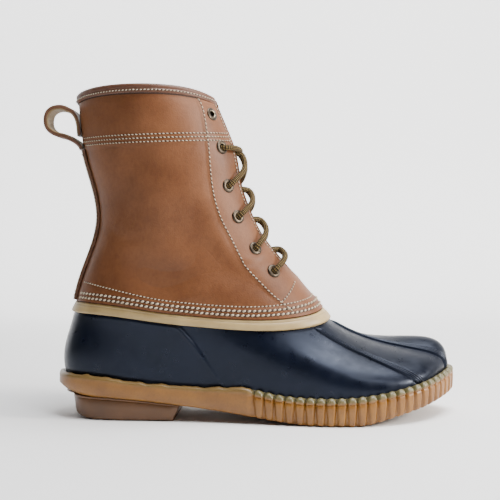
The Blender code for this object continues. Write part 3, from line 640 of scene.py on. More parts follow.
# Creases of the leather, from one end to the other; a depth below 0 is a swelling. Side 1 is medial.
CREASES = table(
    "side x1 z1 x2 z2 width depth",
    (-1, 0.121, 0.143, 0.160, 0.104, 0.0065, -0.0013),
    (-1, 0.098, 0.150, 0.150, 0.100, 0.0130, 0.0019),
    (-1, 0.152, 0.130, 0.163, 0.137, 0.0014, 0.0005),
    (-1, 0.150, 0.126, 0.166, 0.133, 0.0014, 0.0005),
    (-1, 0.1400, 0.1140, 0.1660, 0.1230, 0.0016, 0.0008),
    (-1, 0.1440, 0.1175, 0.1660, 0.1265, 0.0022, -0.0005),
    (-1, 0.1490, 0.1085, 0.1640, 0.1130, 0.0014, 0.0004),
    (-1, 0.0450, 0.1160, 0.1180, 0.1040, 0.0085, 0.0014),
    (-1, 0.0500, 0.1210, 0.1250, 0.1130, 0.0110, 0.0018),
    (-1, 0.0600, 0.1650, 0.1100, 0.1600, 0.0180, -0.0014),
    (-1, 0.0350, 0.0950, 0.1150, 0.0930, 0.0055, -0.0008),
    (-1, 0.0400, 0.1420, 0.0720, 0.1330, 0.0055, 0.0006),
    (-1, 0.0900, 0.1400, 0.1280, 0.1260, 0.0070, 0.0005),
    (-1, 0.1540, 0.0980, 0.1780, 0.0900, 0.0030, 0.0003),
    (1, 0.1380, 0.1160, 0.1620, 0.1210, 0.0018, 0.0007),
    (1, 0.0450, 0.1180, 0.1150, 0.1080, 0.0085, 0.0013),
    (1, 0.0350, 0.0960, 0.1150, 0.0950, 0.0055, -0.0007),
    (1, 0.0420, 0.1400, 0.0800, 0.1300, 0.0055, 0.0006),
    (1, 0.1550, 0.1000, 0.1760, 0.0940, 0.0030, 0.0003),
)


def turn_from(side, x, height):
    """The turn on one side where the leather has a given x."""
    back, front = leather(180, height)[0], leather(0, height)[0]
    middle = back + shaft_share["widest"](height / BOOT_HEIGHT) * (front - back)
    reach = front - middle if x > middle else middle - back
    return side * math.degrees(math.acos(min(1.0, max(-1.0, (x - middle) / reach))))


def polyline_distance(x, z, line):
    """Distance to a line in the side view, positive behind and below it, and how far along it (0 to 1)."""
    best = np.full(x.shape, 9.0)
    sign = np.ones(x.shape)
    part = np.zeros(x.shape)
    count = len(line["x"]) - 1
    for i in range(count):
        ax, az, bx, bz = line["x"][i], line["z"][i], line["x"][i + 1], line["z"][i + 1]
        t = np.clip(((x - ax) * (bx - ax) + (z - az) * (bz - az)) / ((bx - ax) ** 2 + (bz - az) ** 2), 0, 1)
        distance = np.hypot(x - ax - t * (bx - ax), z - az - t * (bz - az))
        side = np.sign((bx - ax) * (z - az) - (bz - az) * (x - ax))
        closer = distance < best
        best = np.where(closer, distance, best)
        sign = np.where(closer, -side, sign)
        part = np.where(closer, (i + t) / count, part)
    return best * sign, part


def throat_half(height):
    """Half the width of the throat at a height."""
    top, middle = BOOT_HEIGHT * 1.05, 0.5 * (THROAT_BOTTOM + BOOT_HEIGHT)
    return float(np.interp(height, (THROAT_BOTTOM + THROAT_HALF_TOP, middle, top),
                           (THROAT_HALF_TOP, THROAT_HALF_MIDDLE, THROAT_HALF_TOP)))


def leather_relief(turn, height, edge):
    """How far creases, seams and the stitched hem move the leather's face outwards."""
    point = leather(turn, height)
    x, z = point[..., 0], height
    side = np.sign(turn)
    relief = RIPPLE * np.sin(x * 95 + z * 60 + side) * np.sin(z * 130 - x * 40 + 2 * side)
    for s, x1, z1, x2, z2, width, depth in zip(*(CREASES[name] for name in CREASES)):
        t = ((x - x1) * (x2 - x1) + (z - z1) * (z2 - z1)) / ((x2 - x1) ** 2 + (z2 - z1) ** 2)
        inside = np.clip(t, 0, 1)
        bow = 0.12 * np.hypot(x2 - x1, z2 - z1) * np.sin(np.pi * inside) ** 2
        distance = np.hypot(x - x1 - inside * (x2 - x1), z - z1 - inside * (z2 - z1) + bow)
        fade = np.sin(np.pi * np.clip(0.08 + 0.84 * inside, 0, 1))
        relief = relief - np.where(side == s, depth * fade * np.exp(-((distance / width) ** 2)), 0)
    gap, _ = polyline_distance(x, z, EYESTAY_SEAM)
    relief = relief + STAY_STEP * smooth(-gap, -0.0020, -0.0008) * (z > 0.085)
    relief = relief + HEM_STEP * (1 - smooth(z - edge, 0.0074, 0.0088))
    relief = relief + CUFF_STEP * smooth(z - cuff_height(turn), -0.0078, -0.0066)
    free = (1 - smooth(height, 0.2330, 0.2375)) * smooth(np.abs(turn), 0, 1)
    backed = np.maximum(smooth(180 - np.abs(turn), 14, 22), 0.15)
    return relief * free * np.where(relief > 0, backed, 1)


def cuff_height(turn):
    """Top row of the stitching that holds the cuff, a little lower at the side than in front."""
    along = np.cos(np.radians(turn))
    return 0.2095 + 0.0015 * along**2 + 0.0010 * along


def ring_faces(rings, around, closed_rings, closed_around=True):
    """Faces between rings of points, each joined to the next."""
    i = np.arange(rings if closed_rings else rings - 1)
    j = np.arange(around if closed_around else around - 1)
    i, j = (grid.ravel() for grid in np.meshgrid(i, j, indexing="ij"))
    a, b = i * around, ((i + 1) % rings) * around
    k = (j + 1) % around
    return np.stack([a + j, a + k, b + k, b + j], 1).tolist()


def capped_faces(rings, around):
    """Faces between rings, and a ladder of faces over the first and the last."""
    ends = ladder(list(range(around))) + ladder(list(range((rings - 1) * around, rings * around)))
    return ring_faces(rings, around, False) + ends


def add_tube(faces, start, rings, around):
    """Faces of a tube whose points start at a number, with a flat end on each side."""
    faces += [[start + k for k in quad] for quad in ring_faces(rings, around, False)]
    last = start + (rings - 1) * around
    faces += [[start + j for j in range(around)][::-1], [last + j for j in range(around)]]


def build(name, points, faces, finishes, sharp=40, indices=None, clean=True):
    """A mesh object in the row frame, smooth except at sharp edges."""
    mesh = bpy.data.meshes.new(name)
    moved = np.asarray(points, float).reshape(-1, 3) - [REST_POINT, 0, 0]
    mesh.from_pydata(moved.tolist(), [], faces)
    for finish in finishes:
        mesh.materials.append(finish)
    if indices is not None:
        mesh.polygons.foreach_set("material_index", np.asarray(indices, np.int32))
    if clean:
        work = bmesh.new()
        work.from_mesh(mesh)
        bmesh.ops.recalc_face_normals(work, faces=work.faces)
        work.to_mesh(mesh)
        work.free()
    mesh.shade_smooth()
    if sharp:
        mesh.set_sharp_from_angle(angle=math.radians(sharp))
    made = bpy.data.objects.new(name, mesh)
    bpy.context.scene.collection.objects.link(made)
    return made


def show(piece, slot, *nodes):
    """The piece belongs to the boot and stands for CAD nodes."""
    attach(piece, "root")
    if nodes:
        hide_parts(*nodes)
    return piece


def wall_piece(name, outer, inner, finishes, **settings):
    """A hollow wall between two grids of closed rows."""
    grid = np.concatenate([outer, inner[::-1]])
    return build(name, grid, ring_faces(len(grid), grid.shape[1], True), finishes, **settings)


def plate_piece(name, upper, lower, finishes, **settings):
    """A solid between two grids of open rows."""
    rows, across = upper.shape[:2]
    points = np.concatenate([upper.reshape(-1, 3), lower.reshape(-1, 3)])
    under = rows * across
    top = ring_faces(rows, across, False, False)
    faces = top + [[under + k for k in quad[::-1]] for quad in top]
    rim = list(range(across)) + [i * across + across - 1 for i in range(1, rows)]
    rim += [(rows - 1) * across + j for j in range(across - 2, -1, -1)]
    rim += [i * across for i in range(rows - 2, 0, -1)]
    faces += [[a, b, under + b, under + a] for a, b in zip(rim, rim[1:] + rim[:1])]
    return build(name, points, faces, finishes, **settings)


class Finish:
    """A principled material and the few nodes that the boot's surfaces need."""

    def __init__(self, name, roughness, metallic=0.0, specular=0.5, coat=0.0, sheen=0.0):
        self.material = bpy.data.materials.new(name)
        self.material.use_nodes = True
        self.nodes = self.material.node_tree.nodes
        self.join = self.material.node_tree.links.new
        self.shader = self.nodes["Principled BSDF"]
        self.set("Roughness", roughness)
        self.set("Metallic", metallic)
        self.set("Specular IOR Level", specular)
        self.set("Coat Weight", coat)
        self.set("Coat Roughness", 0.3 if coat else 0.1)
        self.set("Sheen Weight", sheen)

    def set(self, name, value):
        self.shader.inputs[name].default_value = value

    def noise(self, scale, detail=3.0, kind="ShaderNodeTexNoise", output="Fac"):
        texture = self.nodes.new(kind)
        texture.inputs["Scale"].default_value = scale
        if "Detail" in texture.inputs:
            texture.inputs["Detail"].default_value = detail
        self.join(self.nodes.new("ShaderNodeTexCoord").outputs["Object"], texture.inputs["Vector"])
        return texture.outputs[output]

    def ramp(self, factor, *stops):
        """Colours or greys at places from 0 to 1."""
        made = self.nodes.new("ShaderNodeValToRGB")
        while len(made.color_ramp.elements) < len(stops):
            made.color_ramp.elements.new(0.5)
        for element, (place, colour) in zip(made.color_ramp.elements, stops):
            element.position = place
            element.color = (*colour, 1) if isinstance(colour, tuple) else (colour, colour, colour, 1)
        self.join(factor, made.inputs["Fac"])
        return made.outputs["Color"]

    def mix(self, factor, first, second, blend="MIX"):
        made = self.nodes.new("ShaderNodeMix")
        made.data_type = "RGBA"
        made.blend_type = blend
        for target, value in ((made.inputs[0], factor), (made.inputs[6], first), (made.inputs[7], second)):
            if isinstance(value, bpy.types.NodeSocket):
                self.join(value, target)
            else:
                target.default_value = value if isinstance(value, float) else (*value, 1)
        return made.outputs[2]

    def math(self, kind, first, second=None):
        node = self.nodes.new("ShaderNodeMath")
        node.operation = kind
        for target, value in zip(node.inputs, (first, second)):
            if isinstance(value, bpy.types.NodeSocket):
                self.join(value, target)
            elif value is not None:
                target.default_value = value
        return node.outputs[0]

    def colour(self, base, fleck=None, strength=0.0, low=(0.3, 0.6), high=(0.6, 1.0)):
        """The base colour, darkened by flecks where they are given."""
        if fleck is not None:
            base = self.mix(strength, base, self.ramp(fleck, low, high), "MULTIPLY")
        self.join(base, self.shader.inputs["Base Color"])

    def bump(self, *layers):
        """Adds bump layers, each (height socket, strength, distance), and returns the material."""
        last = None
        for height, strength, distance in layers:
            node = self.nodes.new("ShaderNodeBump")
            node.inputs["Strength"].default_value = strength
            node.inputs["Distance"].default_value = distance
            self.join(height, node.inputs["Height"])
            if last:
                self.join(last, node.inputs["Normal"])
            last = node.outputs["Normal"]
        self.join(last, self.shader.inputs["Normal"])
        return self.material


def leather_finish(name, light, dark, roughness=0.46):
    finish = Finish(name, roughness, specular=0.28)
    cloud = finish.noise(26.0, 5.0)
    base = finish.ramp(cloud, (0.30, dark), (0.70, light))
    finish.colour(base, finish.noise(420.0, 4.0), 0.75, (0.25, 0.80), (0.60, 1.0))
    dry = finish.ramp(cloud, (0.2, roughness - 0.06), (0.8, roughness + 0.08))
    finish.join(dry, finish.shader.inputs["Roughness"])
    pores = finish.noise(900.0, kind="ShaderNodeTexVoronoi", output="Distance")
    wide, fine = finish.noise(110.0, 3.0), finish.noise(1500.0, 4.0)
    return finish.bump((wide, 0.25, 0.0006), (pores, 0.22, 0.00025), (fine, 0.20, 0.00012))


def suede_finish(name, light, dark):
    finish = Finish(name, 0.92, specular=0.2, sheen=0.35)
    fibre = finish.noise(1400.0, 6.0)
    base = finish.ramp(finish.noise(60.0, 6.0), (0.3, dark), (0.7, light))
    finish.colour(base, fibre, 0.8, (0.3, 0.65), (0.65, 1.0))
    return finish.bump((fibre, 0.6, 0.0005))


def navy_finish():
    finish = Finish("moulded_rubber", 0.27, specular=0.28)
    finish.set("Specular Tint", (0.66, 0.76, 1.0, 1))
    cloud, smear = finish.noise(30.0, 1.5), finish.noise(150.0, 3.0)
    finish.colour(finish.ramp(cloud, (0.3, (0.0012, 0.0020, 0.0050)), (0.75, (0.0028, 0.0042, 0.0105))))
    finish.join(finish.ramp(smear, (0.25, 0.24), (0.75, 0.42)), finish.shader.inputs["Roughness"])
    return finish.bump((cloud, 0.20, 0.0010), (smear, 0.05, 0.0002))


def gum_finish(name, light, dark, dust):
    """Gum rubber; the top of each rib is duller, by the cap attribute."""
    finish = Finish(name, 0.42, coat=0.12)
    cloud, speck = finish.noise(48.0, 5.0), finish.noise(700.0, 3.0)
    cap = finish.nodes.new("ShaderNodeAttribute")
    cap.attribute_name = "cap"
    base = finish.mix(cap.outputs["Fac"], finish.ramp(cloud, (0.32, dark), (0.68, light)), dust)
    finish.colour(base, speck, 0.7, (0.30, 0.82), (0.55, 1.0))
    return finish.bump((cloud, 0.15, 0.0008), (speck, 0.15, 0.00015))


def plain_finish(name, light, dark, roughness, scale, metallic=0.0):
    finish = Finish(name, roughness, metallic)
    cloud = finish.noise(scale, 5.0)
    finish.colour(finish.ramp(cloud, (0.3, dark), (0.7, light)))
    return finish.bump((cloud, 0.12, 0.0004))


def lace_finish():
    """Round braid: dark strands crossing, with gold flecks, along the lace map."""
    finish = Finish("lace_braid", 0.75, specular=0.15)
    place = finish.nodes.new("ShaderNodeUVMap")
    place.uv_map = "lace"
    split = finish.nodes.new("ShaderNodeSeparateXYZ")
    finish.join(place.outputs["UV"], split.inputs[0])
    waves = []
    for way in (1, -1):
        around = finish.math("MULTIPLY", split.outputs["Y"], BRAID_STRANDS * way)
        total = finish.math("ADD", split.outputs["X"], around)
        waves.append(finish.math("SINE", finish.math("MULTIPLY", total, 2 * math.pi)))
    level = finish.math("ADD", finish.math("MULTIPLY", finish.math("MULTIPLY", *waves), 0.5), 0.5)
    base = finish.ramp(level, (0.20, (0.008, 0.005, 0.003)), (0.50, (0.034, 0.020, 0.008)),
                       (0.72, (0.095, 0.060, 0.021)), (0.92, (0.34, 0.225, 0.075)))
    fuzz = finish.noise(1800.0, 4.0)
    finish.colour(base, fuzz, 0.7)
    return finish.bump((level, 0.8, 0.0004), (fuzz, 0.3, 0.0001))


def outsole_piece():
    """The sole's side with a capped rib at every pitch, a plain foxing behind them, and a ragged top edge."""
    end = rib_end_turn()
    marks = arc_turns(RIB_START_TURN, end, 2 * RIBS_EACH_SIDE * RIB_SAMPLES)[:-1]
    medial = arc_turns(end, 180, 60)
    lateral = arc_turns(-180, RIB_START_TURN, 60)[1:-1]
    turns = np.concatenate([medial[-1:], lateral, marks, medial[:-1]])
    around = len(turns)
    first = 1 + len(lateral)
    ribbed, phases = np.zeros(around), np.full(around, 0.5)
    ribbed[first : first + len(marks)] = 1
    phases[first : first + len(marks)] = (np.arange(len(marks)) % RIB_SAMPLES) / RIB_SAMPLES
    edge = each(sole_edge, turns)
    inwards = np.array([(sole_edge(turn, 0.001) - sole_edge(turn)) / 0.001 for turn in turns])
    low, high = each(underside, edge[:, 0]), each(foxing_top, edge[:, 0])
    slopes = each(heel_slope, edge[:, 0])
    off = 2 * np.abs(phases - 0.5)
    index = np.arange(around)
    ragged = 0.00045 * np.sin(index * 1.7) * np.sin(index * 0.43 + 1) + 0.00035 * np.sin(index * 0.91)
    rings, caps = [], []

    def add_ring(depth, height, cap):
        x, y = (edge + inwards * depth).T
        rings.append(np.stack([x, y, height], 1))
        caps.append(cap)

    add_ring(FOOT_INSET, low + TREAD_DEPTH, np.zeros(around))
    for inset, up, added in zip(*RIB_LEVELS.values()):
        width = 0.62 + 0.26 * min(1.0, up / 0.72) if up < CAP_START else 0.90 - 0.5 * max(0.0, up - 0.90)
        groove = smooth(off, width - 0.24, min(1.0, width + 0.12)) * ribbed
        if up <= 0.0:
            groove = groove * (0.3 if added == 0 else 0.8)
        plain = 0.0001 if up in CAP_GROOVE_UPS else inset
        depth = np.where(ribbed > 0, inset, plain) + groove * RIB_DEPTH + slopes * max(0.0, 1.0 - up / 0.45)
        scallop = SCALLOP * off**2.6 * smooth(up, 0.80, 0.97) * ribbed
        height = low + up * (high - low) + added + 0.0010 * groove * (up <= 0.0)
        height = height - scallop + (1 - ribbed) * ragged * smooth(up, 0.8, 1.0)
        add_ring(depth[:, None], height, smooth(up, 0.76, 0.90) * (0.60 + 0.40 * ribbed))
    thick = RIB_DEPTH + FOXING_WALL
    add_ring(thick, high - 0.0009, np.ones(around))
    add_ring(thick, low + FLOOR_THICKNESS, np.zeros(around))
    made = build("outsole_rubber", rings, capped_faces(len(rings), around), [gum], sharp=55)
    cap = made.data.attributes.new("cap", "FLOAT", "POINT")
    cap.data.foreach_set("value", np.concatenate(caps).astype(np.float32))
    return show(made, "gum_rubber", "outsole")


def tread_piece():
    """Waved bars under the sole, level with its lower edge."""
    inner = {side: np.array([sole_edge(side * turn, TREAD_MARGIN) for turn in np.linspace(179, 1, 200)])
             for side in (-1, 1)}
    bite = TREAD_DEPTH + TREAD_BITE
    points, faces = [], []
    for place in np.arange(HEEL_BREAST + 0.012, 0.94 * SOLE_LENGTH, TREAD_PITCH):
        ends = [np.interp(place, inner[side][:, 0], inner[side][:, 1]) for side in (-1, 1)]
        across = np.arange(*ends, TREAD_WAVE / 4)
        start = len(points)
        for i, y in enumerate(across):
            middle = place + TREAD_SWING * math.sin(i * math.pi / 2)
            for half, up in ((-0.5, 0.0), (0.5, 0.0), (0.5, bite), (-0.5, bite)):
                x = middle + half * TREAD_BAR
                points.append((x, y, underside(x) + up))
        add_tube(faces, start, len(across), 4)
    return show(build("tread_rubber", points, faces, [heel_gum], sharp=30), "gum_rubber")


def heel_wear(x, share):
    """The heel's back lower edge is worn round."""
    reach = max(0.0, 1 - (x - HEEL_SET_BACK) / HEEL_WEAR_LENGTH)
    return share**2 * HEEL_WEAR * reach**2


def behind(point, limit):
    """A point of the heel's outline, pressed back where it would pass the breast."""
    x, y = point
    start = limit - PRESS_LENGTH
    if x > start:
        x = start + (x - start) * PRESS_LENGTH / (PRESS_LENGTH + HEEL_BREAST + 0.001 - limit)
    return min(x, limit), y


def heel_piece():
    """The heel block, with a slanting breast and a worn back edge."""
    first, last = ([turn for turn in np.linspace(end, end / 2, 400) if sole_edge(turn)[0] > HEEL_BREAST][0]
                   for end in (-180, 180))
    lateral = arc_turns(-180, first, 60)[:-1]
    medial = arc_turns(180, last, 60)[1:-1][::-1]
    rings = []
    for inset, share, added, back in zip(*HEEL_LEVELS.values()):
        inset += HEEL_INSET + back * HEEL_TAPER
        breast = HEEL_BREAST - 0.4 * back * HEEL_SLANT
        lateral_breast = breast + HEEL_SKEW * (1 - back)
        right, left = (side * (abs(sole_edge(turn)[1]) - inset) for side, turn in ((-1, first), (1, last)))
        ring = [behind(heel_edge(turn, inset), lateral_breast - 0.0008) for turn in lateral]
        ring += [(lateral_breast - 0.0004, right), (lateral_breast, right + 0.0012), (breast, 0.0),
                 (breast, left - 0.0012), (breast - 0.0004, left)]
        ring += [behind(heel_edge(turn, inset), breast - 0.0008) for turn in medial]
        rings.append([(x, y, share * underside(x) + added + heel_wear(x, 1 - share)) for x, y in ring])
    made = build("heel_rubber", rings, capped_faces(len(rings), len(rings[0])), [heel_gum], sharp=50)
    return show(made, "gum_rubber", "heel")


def insole_piece():
    """The insole, rounded a little at its upper edge."""
    inset = RIB_DEPTH + FOXING_WALL + SHELL_GAP + SHELL_WALL + INSOLE_MARGIN
    turns = arc_turns(-180, 180, 160)[:-1]
    rings = []
    for extra, added in ((0.0, GAP), (0.0, 0.7 * INSOLE_THICKNESS), (0.0012, INSOLE_THICKNESS)):
        rings.append([(*sole_edge(turn, inset + extra), floor(sole_edge(turn)[0]) + added) for turn in turns])
    made = build("insole_felt", rings, capped_faces(3, len(turns)), [felt], sharp=50)
    return show(made, "insole_fabric", "insole")


def shell_column(turn, shares):
    """The rubber lower's outer face above one turn, at shares of the way from the sole to the rim."""
    foot = shell_seat(turn)
    rim = leather_out(turn, leather_edge(turn) - RIM_HEIGHT, -LEATHER - GAP)
    rise, bulge, run, drop = (lower_share[name](turn) for name in ("rise", "bulge", "run", "drop"))
    outwards = np.array([*unit(sole_edge(turn, 0.005) - sole_edge(turn, 0.006)), 0])
    first = foot + np.array([0, 0, rise * (rim[2] - foot[2])]) + outwards * bulge * BALL_WIDTH
    second = rim + np.array([*((foot[:2] - rim[:2]) * run), -drop * (rim[2] - foot[2])])
    t = np.asarray(shares)[:, None]
    return (1 - t) ** 3 * foot + 3 * (1 - t) ** 2 * t * first + 3 * (1 - t) * t**2 * second + t**3 * rim


def shell_piece():
    """The moulded lower, with its two piped lines over the toe and the counter's curved edge."""
    ridges = (NEAR_RIDGE_TURN, FAR_RIDGE_TURN)
    coarse = [turn for turn in arc_turns(-180, 180, AROUND)[:-1]
              if min(abs(turn - ridge) for ridge in ridges) > 1.7 * RIDGE_HALF_TURN]
    fine = [turn for ridge in ridges for turn in ridge + np.linspace(-1.6, 1.6, 23) * RIDGE_HALF_TURN]
    fine += [(turn + after) / 2 for turn, after in zip(coarse, coarse[1:])
             if COUNTER_FROM < sole_edge(turn)[0] < COUNTER_TO]
    turns = np.array(sorted(coarse + fine))
    shares = np.linspace(0, 1, 66)
    lower_part = np.clip(1 - shares / 0.5, 0, 1)
    upper_part = np.clip((shares - 0.5) / 0.5, 0, 1)
    shift = RIDGE_FOOT_TURN * lower_part**2 + RIDGE_RIM_TURN * upper_part**2
    columns = []
    for turn in turns:
        spread = math.exp(-((turn - NEAR_RIDGE_TURN) / RIDGE_SPREAD_WIDTH) ** 2)
        if spread < 0.01:
            columns.append(shell_column(turn, shares))
        else:
            moved = zip(turn + spread * shift, shares)
            columns.append([shell_column(other, [share])[0] for other, share in moved])
    base = np.array(columns).transpose(1, 0, 2)
    near = turns - NEAR_RIDGE_TURN
    bent = np.abs(near) < 2.2 * RIDGE_SPREAD_WIDTH
    for _ in range(12):
        base[1:-1, bent] = 0.5 * base[1:-1, bent] + 0.25 * (base[2:, bent] + base[:-2, bent])
    last_turns = turns + np.exp(-((near / RIDGE_SPREAD_WIDTH) ** 2)) * RIDGE_RIM_TURN
    across = np.roll(base, -1, axis=1) - np.roll(base, 1, axis=1)
    out = unit(np.cross(across, np.gradient(base, axis=0)))
    out[0, :, 2] = 0
    out[0] = unit(out[0])
    relief = np.zeros(base.shape[:2])
    for ridge in ridges:
        off = np.abs(turns - ridge) / RIDGE_HALF_TURN
        relief += MOCCASIN_RIDGE * (1 - smooth(off, 0.62, 0.98))
        relief -= 0.0005 * np.exp(-(((off - 1.12) / 0.14) ** 2))
        relief -= 0.0004 * np.exp(-(((off - 0.30) / 0.10) ** 2))
    gap, part = polyline_distance(base[..., 0], base[..., 2], COUNTER_EDGE)
    step = COUNTER_STEP * smooth(gap, -0.0014, 0.0012) * (1 - 0.6 * smooth(gap, 0.002, 0.018))
    crest = COUNTER_CREST * np.exp(-(((gap - 0.0008) / 0.0017) ** 2))
    relief += (1.0 - 0.65 * smooth(part, 0.55, 1.0)) * (step + crest)
    relief *= (smooth(shares, 0.0, 0.05) * (1 - smooth(shares, 0.955, 1.0)))[:, None]
    foot = base[0].copy()
    foot[:, 2] = [floor(sole_edge(turn)[0]) + 2 * GAP for turn in turns]
    outer = [foot, *(base + out * relief[..., None])]
    inner = [foot - out[0] * SHELL_WALL, *(base - out * SHELL_WALL)]
    edge = each(leather_edge, last_turns)
    for rise in (0.0, 0.5, 1.0):
        for wall, away in ((outer, -LEATHER - GAP), (inner, -LEATHER - GAP - SHELL_WALL)):
            wall.append(leather_out(last_turns, edge + rise * FLANGE_HEIGHT, away))
    made = wall_piece("lower_rubber", np.array(outer), np.array(inner), [navy], sharp=62)
    return show(made, "navy_rubber", "shell")


def band_piece():
    """The pale strip, with a rounded lower edge and a shallow line along it."""
    turns = arc_turns(-180, 180, AROUND)[:-1]
    edge = each(leather_edge, turns)
    low, proud = -RIM_HEIGHT, RIM_PROUD
    section = (
        (-LEATHER, low + GAP), (proud - 0.0012, low + GAP), (proud - 0.0003, low + 0.0006),
        (proud, low + 0.0014), (proud, 0.55 * low), (proud - 0.0001, 0.36 * low),
        (proud - 0.0006, 0.31 * low), (proud - 0.0003, 0.25 * low), (proud - 0.0005, 0.12 * low),
        (proud - 0.0012, -GAP), (-LEATHER, -GAP),
    )
    rings = [leather_out(turns, edge + up, out) for out, up in section]
    made = build("rim_rubber", rings, ring_faces(len(section), len(turns), True), [cream], sharp=60)
    return show(made, "cream_rubber", "rim_band")


def joined_cutter():
    """The throat slot and the eyelet holes, as one tool that is removed after the cut."""
    bend = THROAT_BOTTOM + THROAT_HALF_TOP
    outline = [(THROAT_HALF_TOP * math.cos(angle), bend + THROAT_HALF_TOP * math.sin(angle))
               for angle in np.radians(np.linspace(180, 360, 25))]
    for height in np.linspace(bend, BOOT_HEIGHT * 1.05, 12)[1:]:
        outline.append((throat_half(height), height))
    outline += [(-y, z) for y, z in outline[:24:-1]]
    points = [(share * SOLE_LENGTH, y, z) for share in (0.35, 0.80) for y, z in outline]
    count = len(outline)
    faces = ring_faces(2, count, False)
    faces += [list(range(count)), list(range(2 * count - 1, count - 1, -1))]
    circle = np.linspace(0, 2 * math.pi, 24, endpoint=False)
    for side in (-1, 1):
        for height in EYELET_HEIGHTS:
            centre, axis, first, second = eyelet_frame(side, height)
            start = len(points)
            for depth in (-0.006, 0.006):
                points += [tuple(centre + depth * axis + (EYELET_HOLE + 0.0002)
                                 * (math.cos(angle) * first + math.sin(angle) * second)) for angle in circle]
            add_tube(faces, start, 2, 24)
    return build("cutter", points, faces, [tan], sharp=0)


def upper_piece():
    """The leather with its creases, seam lines, throat and holes."""
    turns = arc_turns(-180, 180, AROUND - 24)[:-1]
    edge = each(leather_edge, turns)
    top = each(collar_top, turns) - COLLAR_PROUD - GAP
    share = np.concatenate([np.linspace(0, 0.07, 11), np.linspace(0.07, 1, 84)[1:]])[:, None]
    height = edge + share * (top - edge)
    turn_grid = np.broadcast_to(turns, height.shape)
    relief = leather_relief(turn_grid, height, edge)
    outer = leather_out(turn_grid, height, relief)
    rows = sorted({*range(0, len(share), 3), len(share) - 1})
    inner = leather_out(turn_grid[rows], height[rows], -LEATHER)
    made = wall_piece("upper_leather", outer, inner, [tan], sharp=0)
    tool = joined_cutter()
    cut = made.modifiers.new("cut", "BOOLEAN")
    cut.object = tool
    cut.solver = "EXACT"
    graph = bpy.context.evaluated_depsgraph_get()
    mesh = bpy.data.meshes.new_from_object(made.evaluated_get(graph))
    made.modifiers.clear()
    made.data = mesh
    bpy.data.objects.remove(tool)
    mesh.shade_smooth()
    mesh.set_sharp_from_angle(angle=math.radians(48))
    return show(made, "tan_leather", "upper")


def tongue_piece():
    """The tongue behind the throat, with thin edges and a slight wave."""
    bottom = leather_edge(0) + FLANGE_HEIGHT + 2 * GAP
    across = np.linspace(-1, 1, 41)
    rim = np.clip((np.abs(across) - 0.93) / 0.07, 0, 1)
    edge = TONGUE_THICKNESS * 0.5 * (1 - np.sqrt(1 - rim**2))
    front, back = [], []
    for share in np.linspace(0, 1, 80):
        height = bottom + share * (TONGUE_TOP - bottom)
        set_back = LEATHER + GAP + LACE_ROOM * min(1.0, share / 0.12)
        half = TONGUE_HALF_WIDTH * (0.86 + 0.14 * share) * (1 - 0.35 * max(0.0, share - 0.88) / 0.12)
        turns = across * turn_at(height, half)
        wave = 0.0002 * np.sin(height * 210) * (1 - np.abs(across))
        front.append(leather_out(turns, height, -set_back - edge - np.abs(wave)))
        back.append(leather_out(turns, height, -set_back - TONGUE_THICKNESS + edge))
    made = plate_piece("tongue_leather", np.array(front), np.array(back), [tongue_tan], sharp=50)
    return show(made, "tan_leather", "tongue")


def collar_row(margin, count):
    """Turns from one side of the throat round the back to the other, and the collar's top at each."""
    end = turn_at(collar_top(0), margin)
    ahead = np.linspace(end, 360 - end, count)
    turns = np.where(ahead > 180, ahead - 360, ahead)
    return turns, each(collar_top, turns)


def collar_piece():
    """The binding, folded over the top edge and lined."""
    inside = -LEATHER - GAP
    proud, depth = COLLAR_PROUD, COLLAR_DEPTH
    section = (
        (GAP, -depth), (proud - 0.0003, -depth), (proud, -depth + 0.0005), (proud + 0.0003, -0.70 * depth),
        (proud + 0.0002, -0.60 * depth), (proud - 0.0001, -0.53 * depth), (proud + 0.0002, -0.46 * depth),
        (proud + 0.0002, -0.26 * depth), (proud - 0.0002, -0.0010), (proud - 0.0009, -0.0003),
        (-0.4 * LEATHER, 0.0), (inside + 0.0004, -0.0002), (inside - 0.6 * COLLAR_LINING, -0.0008),
        (inside - COLLAR_LINING, -0.0018), (inside - COLLAR_LINING, -depth), (inside, -depth),
        (inside, -proud), (GAP, -proud),
    )
    turns, top = collar_row(THROAT_HALF_TOP + 0.0002, 300)
    rings = np.stack([leather_out(turns, top + up, out) for out, up in section], 1)
    count = len(section)
    faces = ring_faces(len(turns), count, False)
    faces += [list(range(count)), list(range((len(turns) - 1) * count, len(turns) * count))]
    return show(build("collar_leather", rings, faces, [binding], sharp=50), "binding_leather", "collar")


def backstay_piece():
    """The strip over the back seam, thinner towards its edges."""
    bottom = leather_edge(180) + GAP
    across = np.linspace(-1, 1, 25)
    thick = BACKSTAY_THICKNESS * (1 - 0.55 * smooth(np.abs(across), 0.90, 1.0))
    thick -= 0.00025 * np.exp(-(((np.abs(across) - 0.84) / 0.035) ** 2))
    outer, inner = [], []
    for height in np.linspace(bottom, BACKSTAY_TOP, 70):
        turns = 180 + across * abs(turn_at(height, BACKSTAY_WIDTH / 2, 180.0) - 180.0)
        outer.append(leather_out(turns, height, 2 * GAP + thick))
        inner.append(leather_out(turns, height, 2 * GAP))
    made = plate_piece("backstay_leather", np.array(outer), np.array(inner), [stay_tan], sharp=50)
    return show(made, "tan_leather", "backstay")


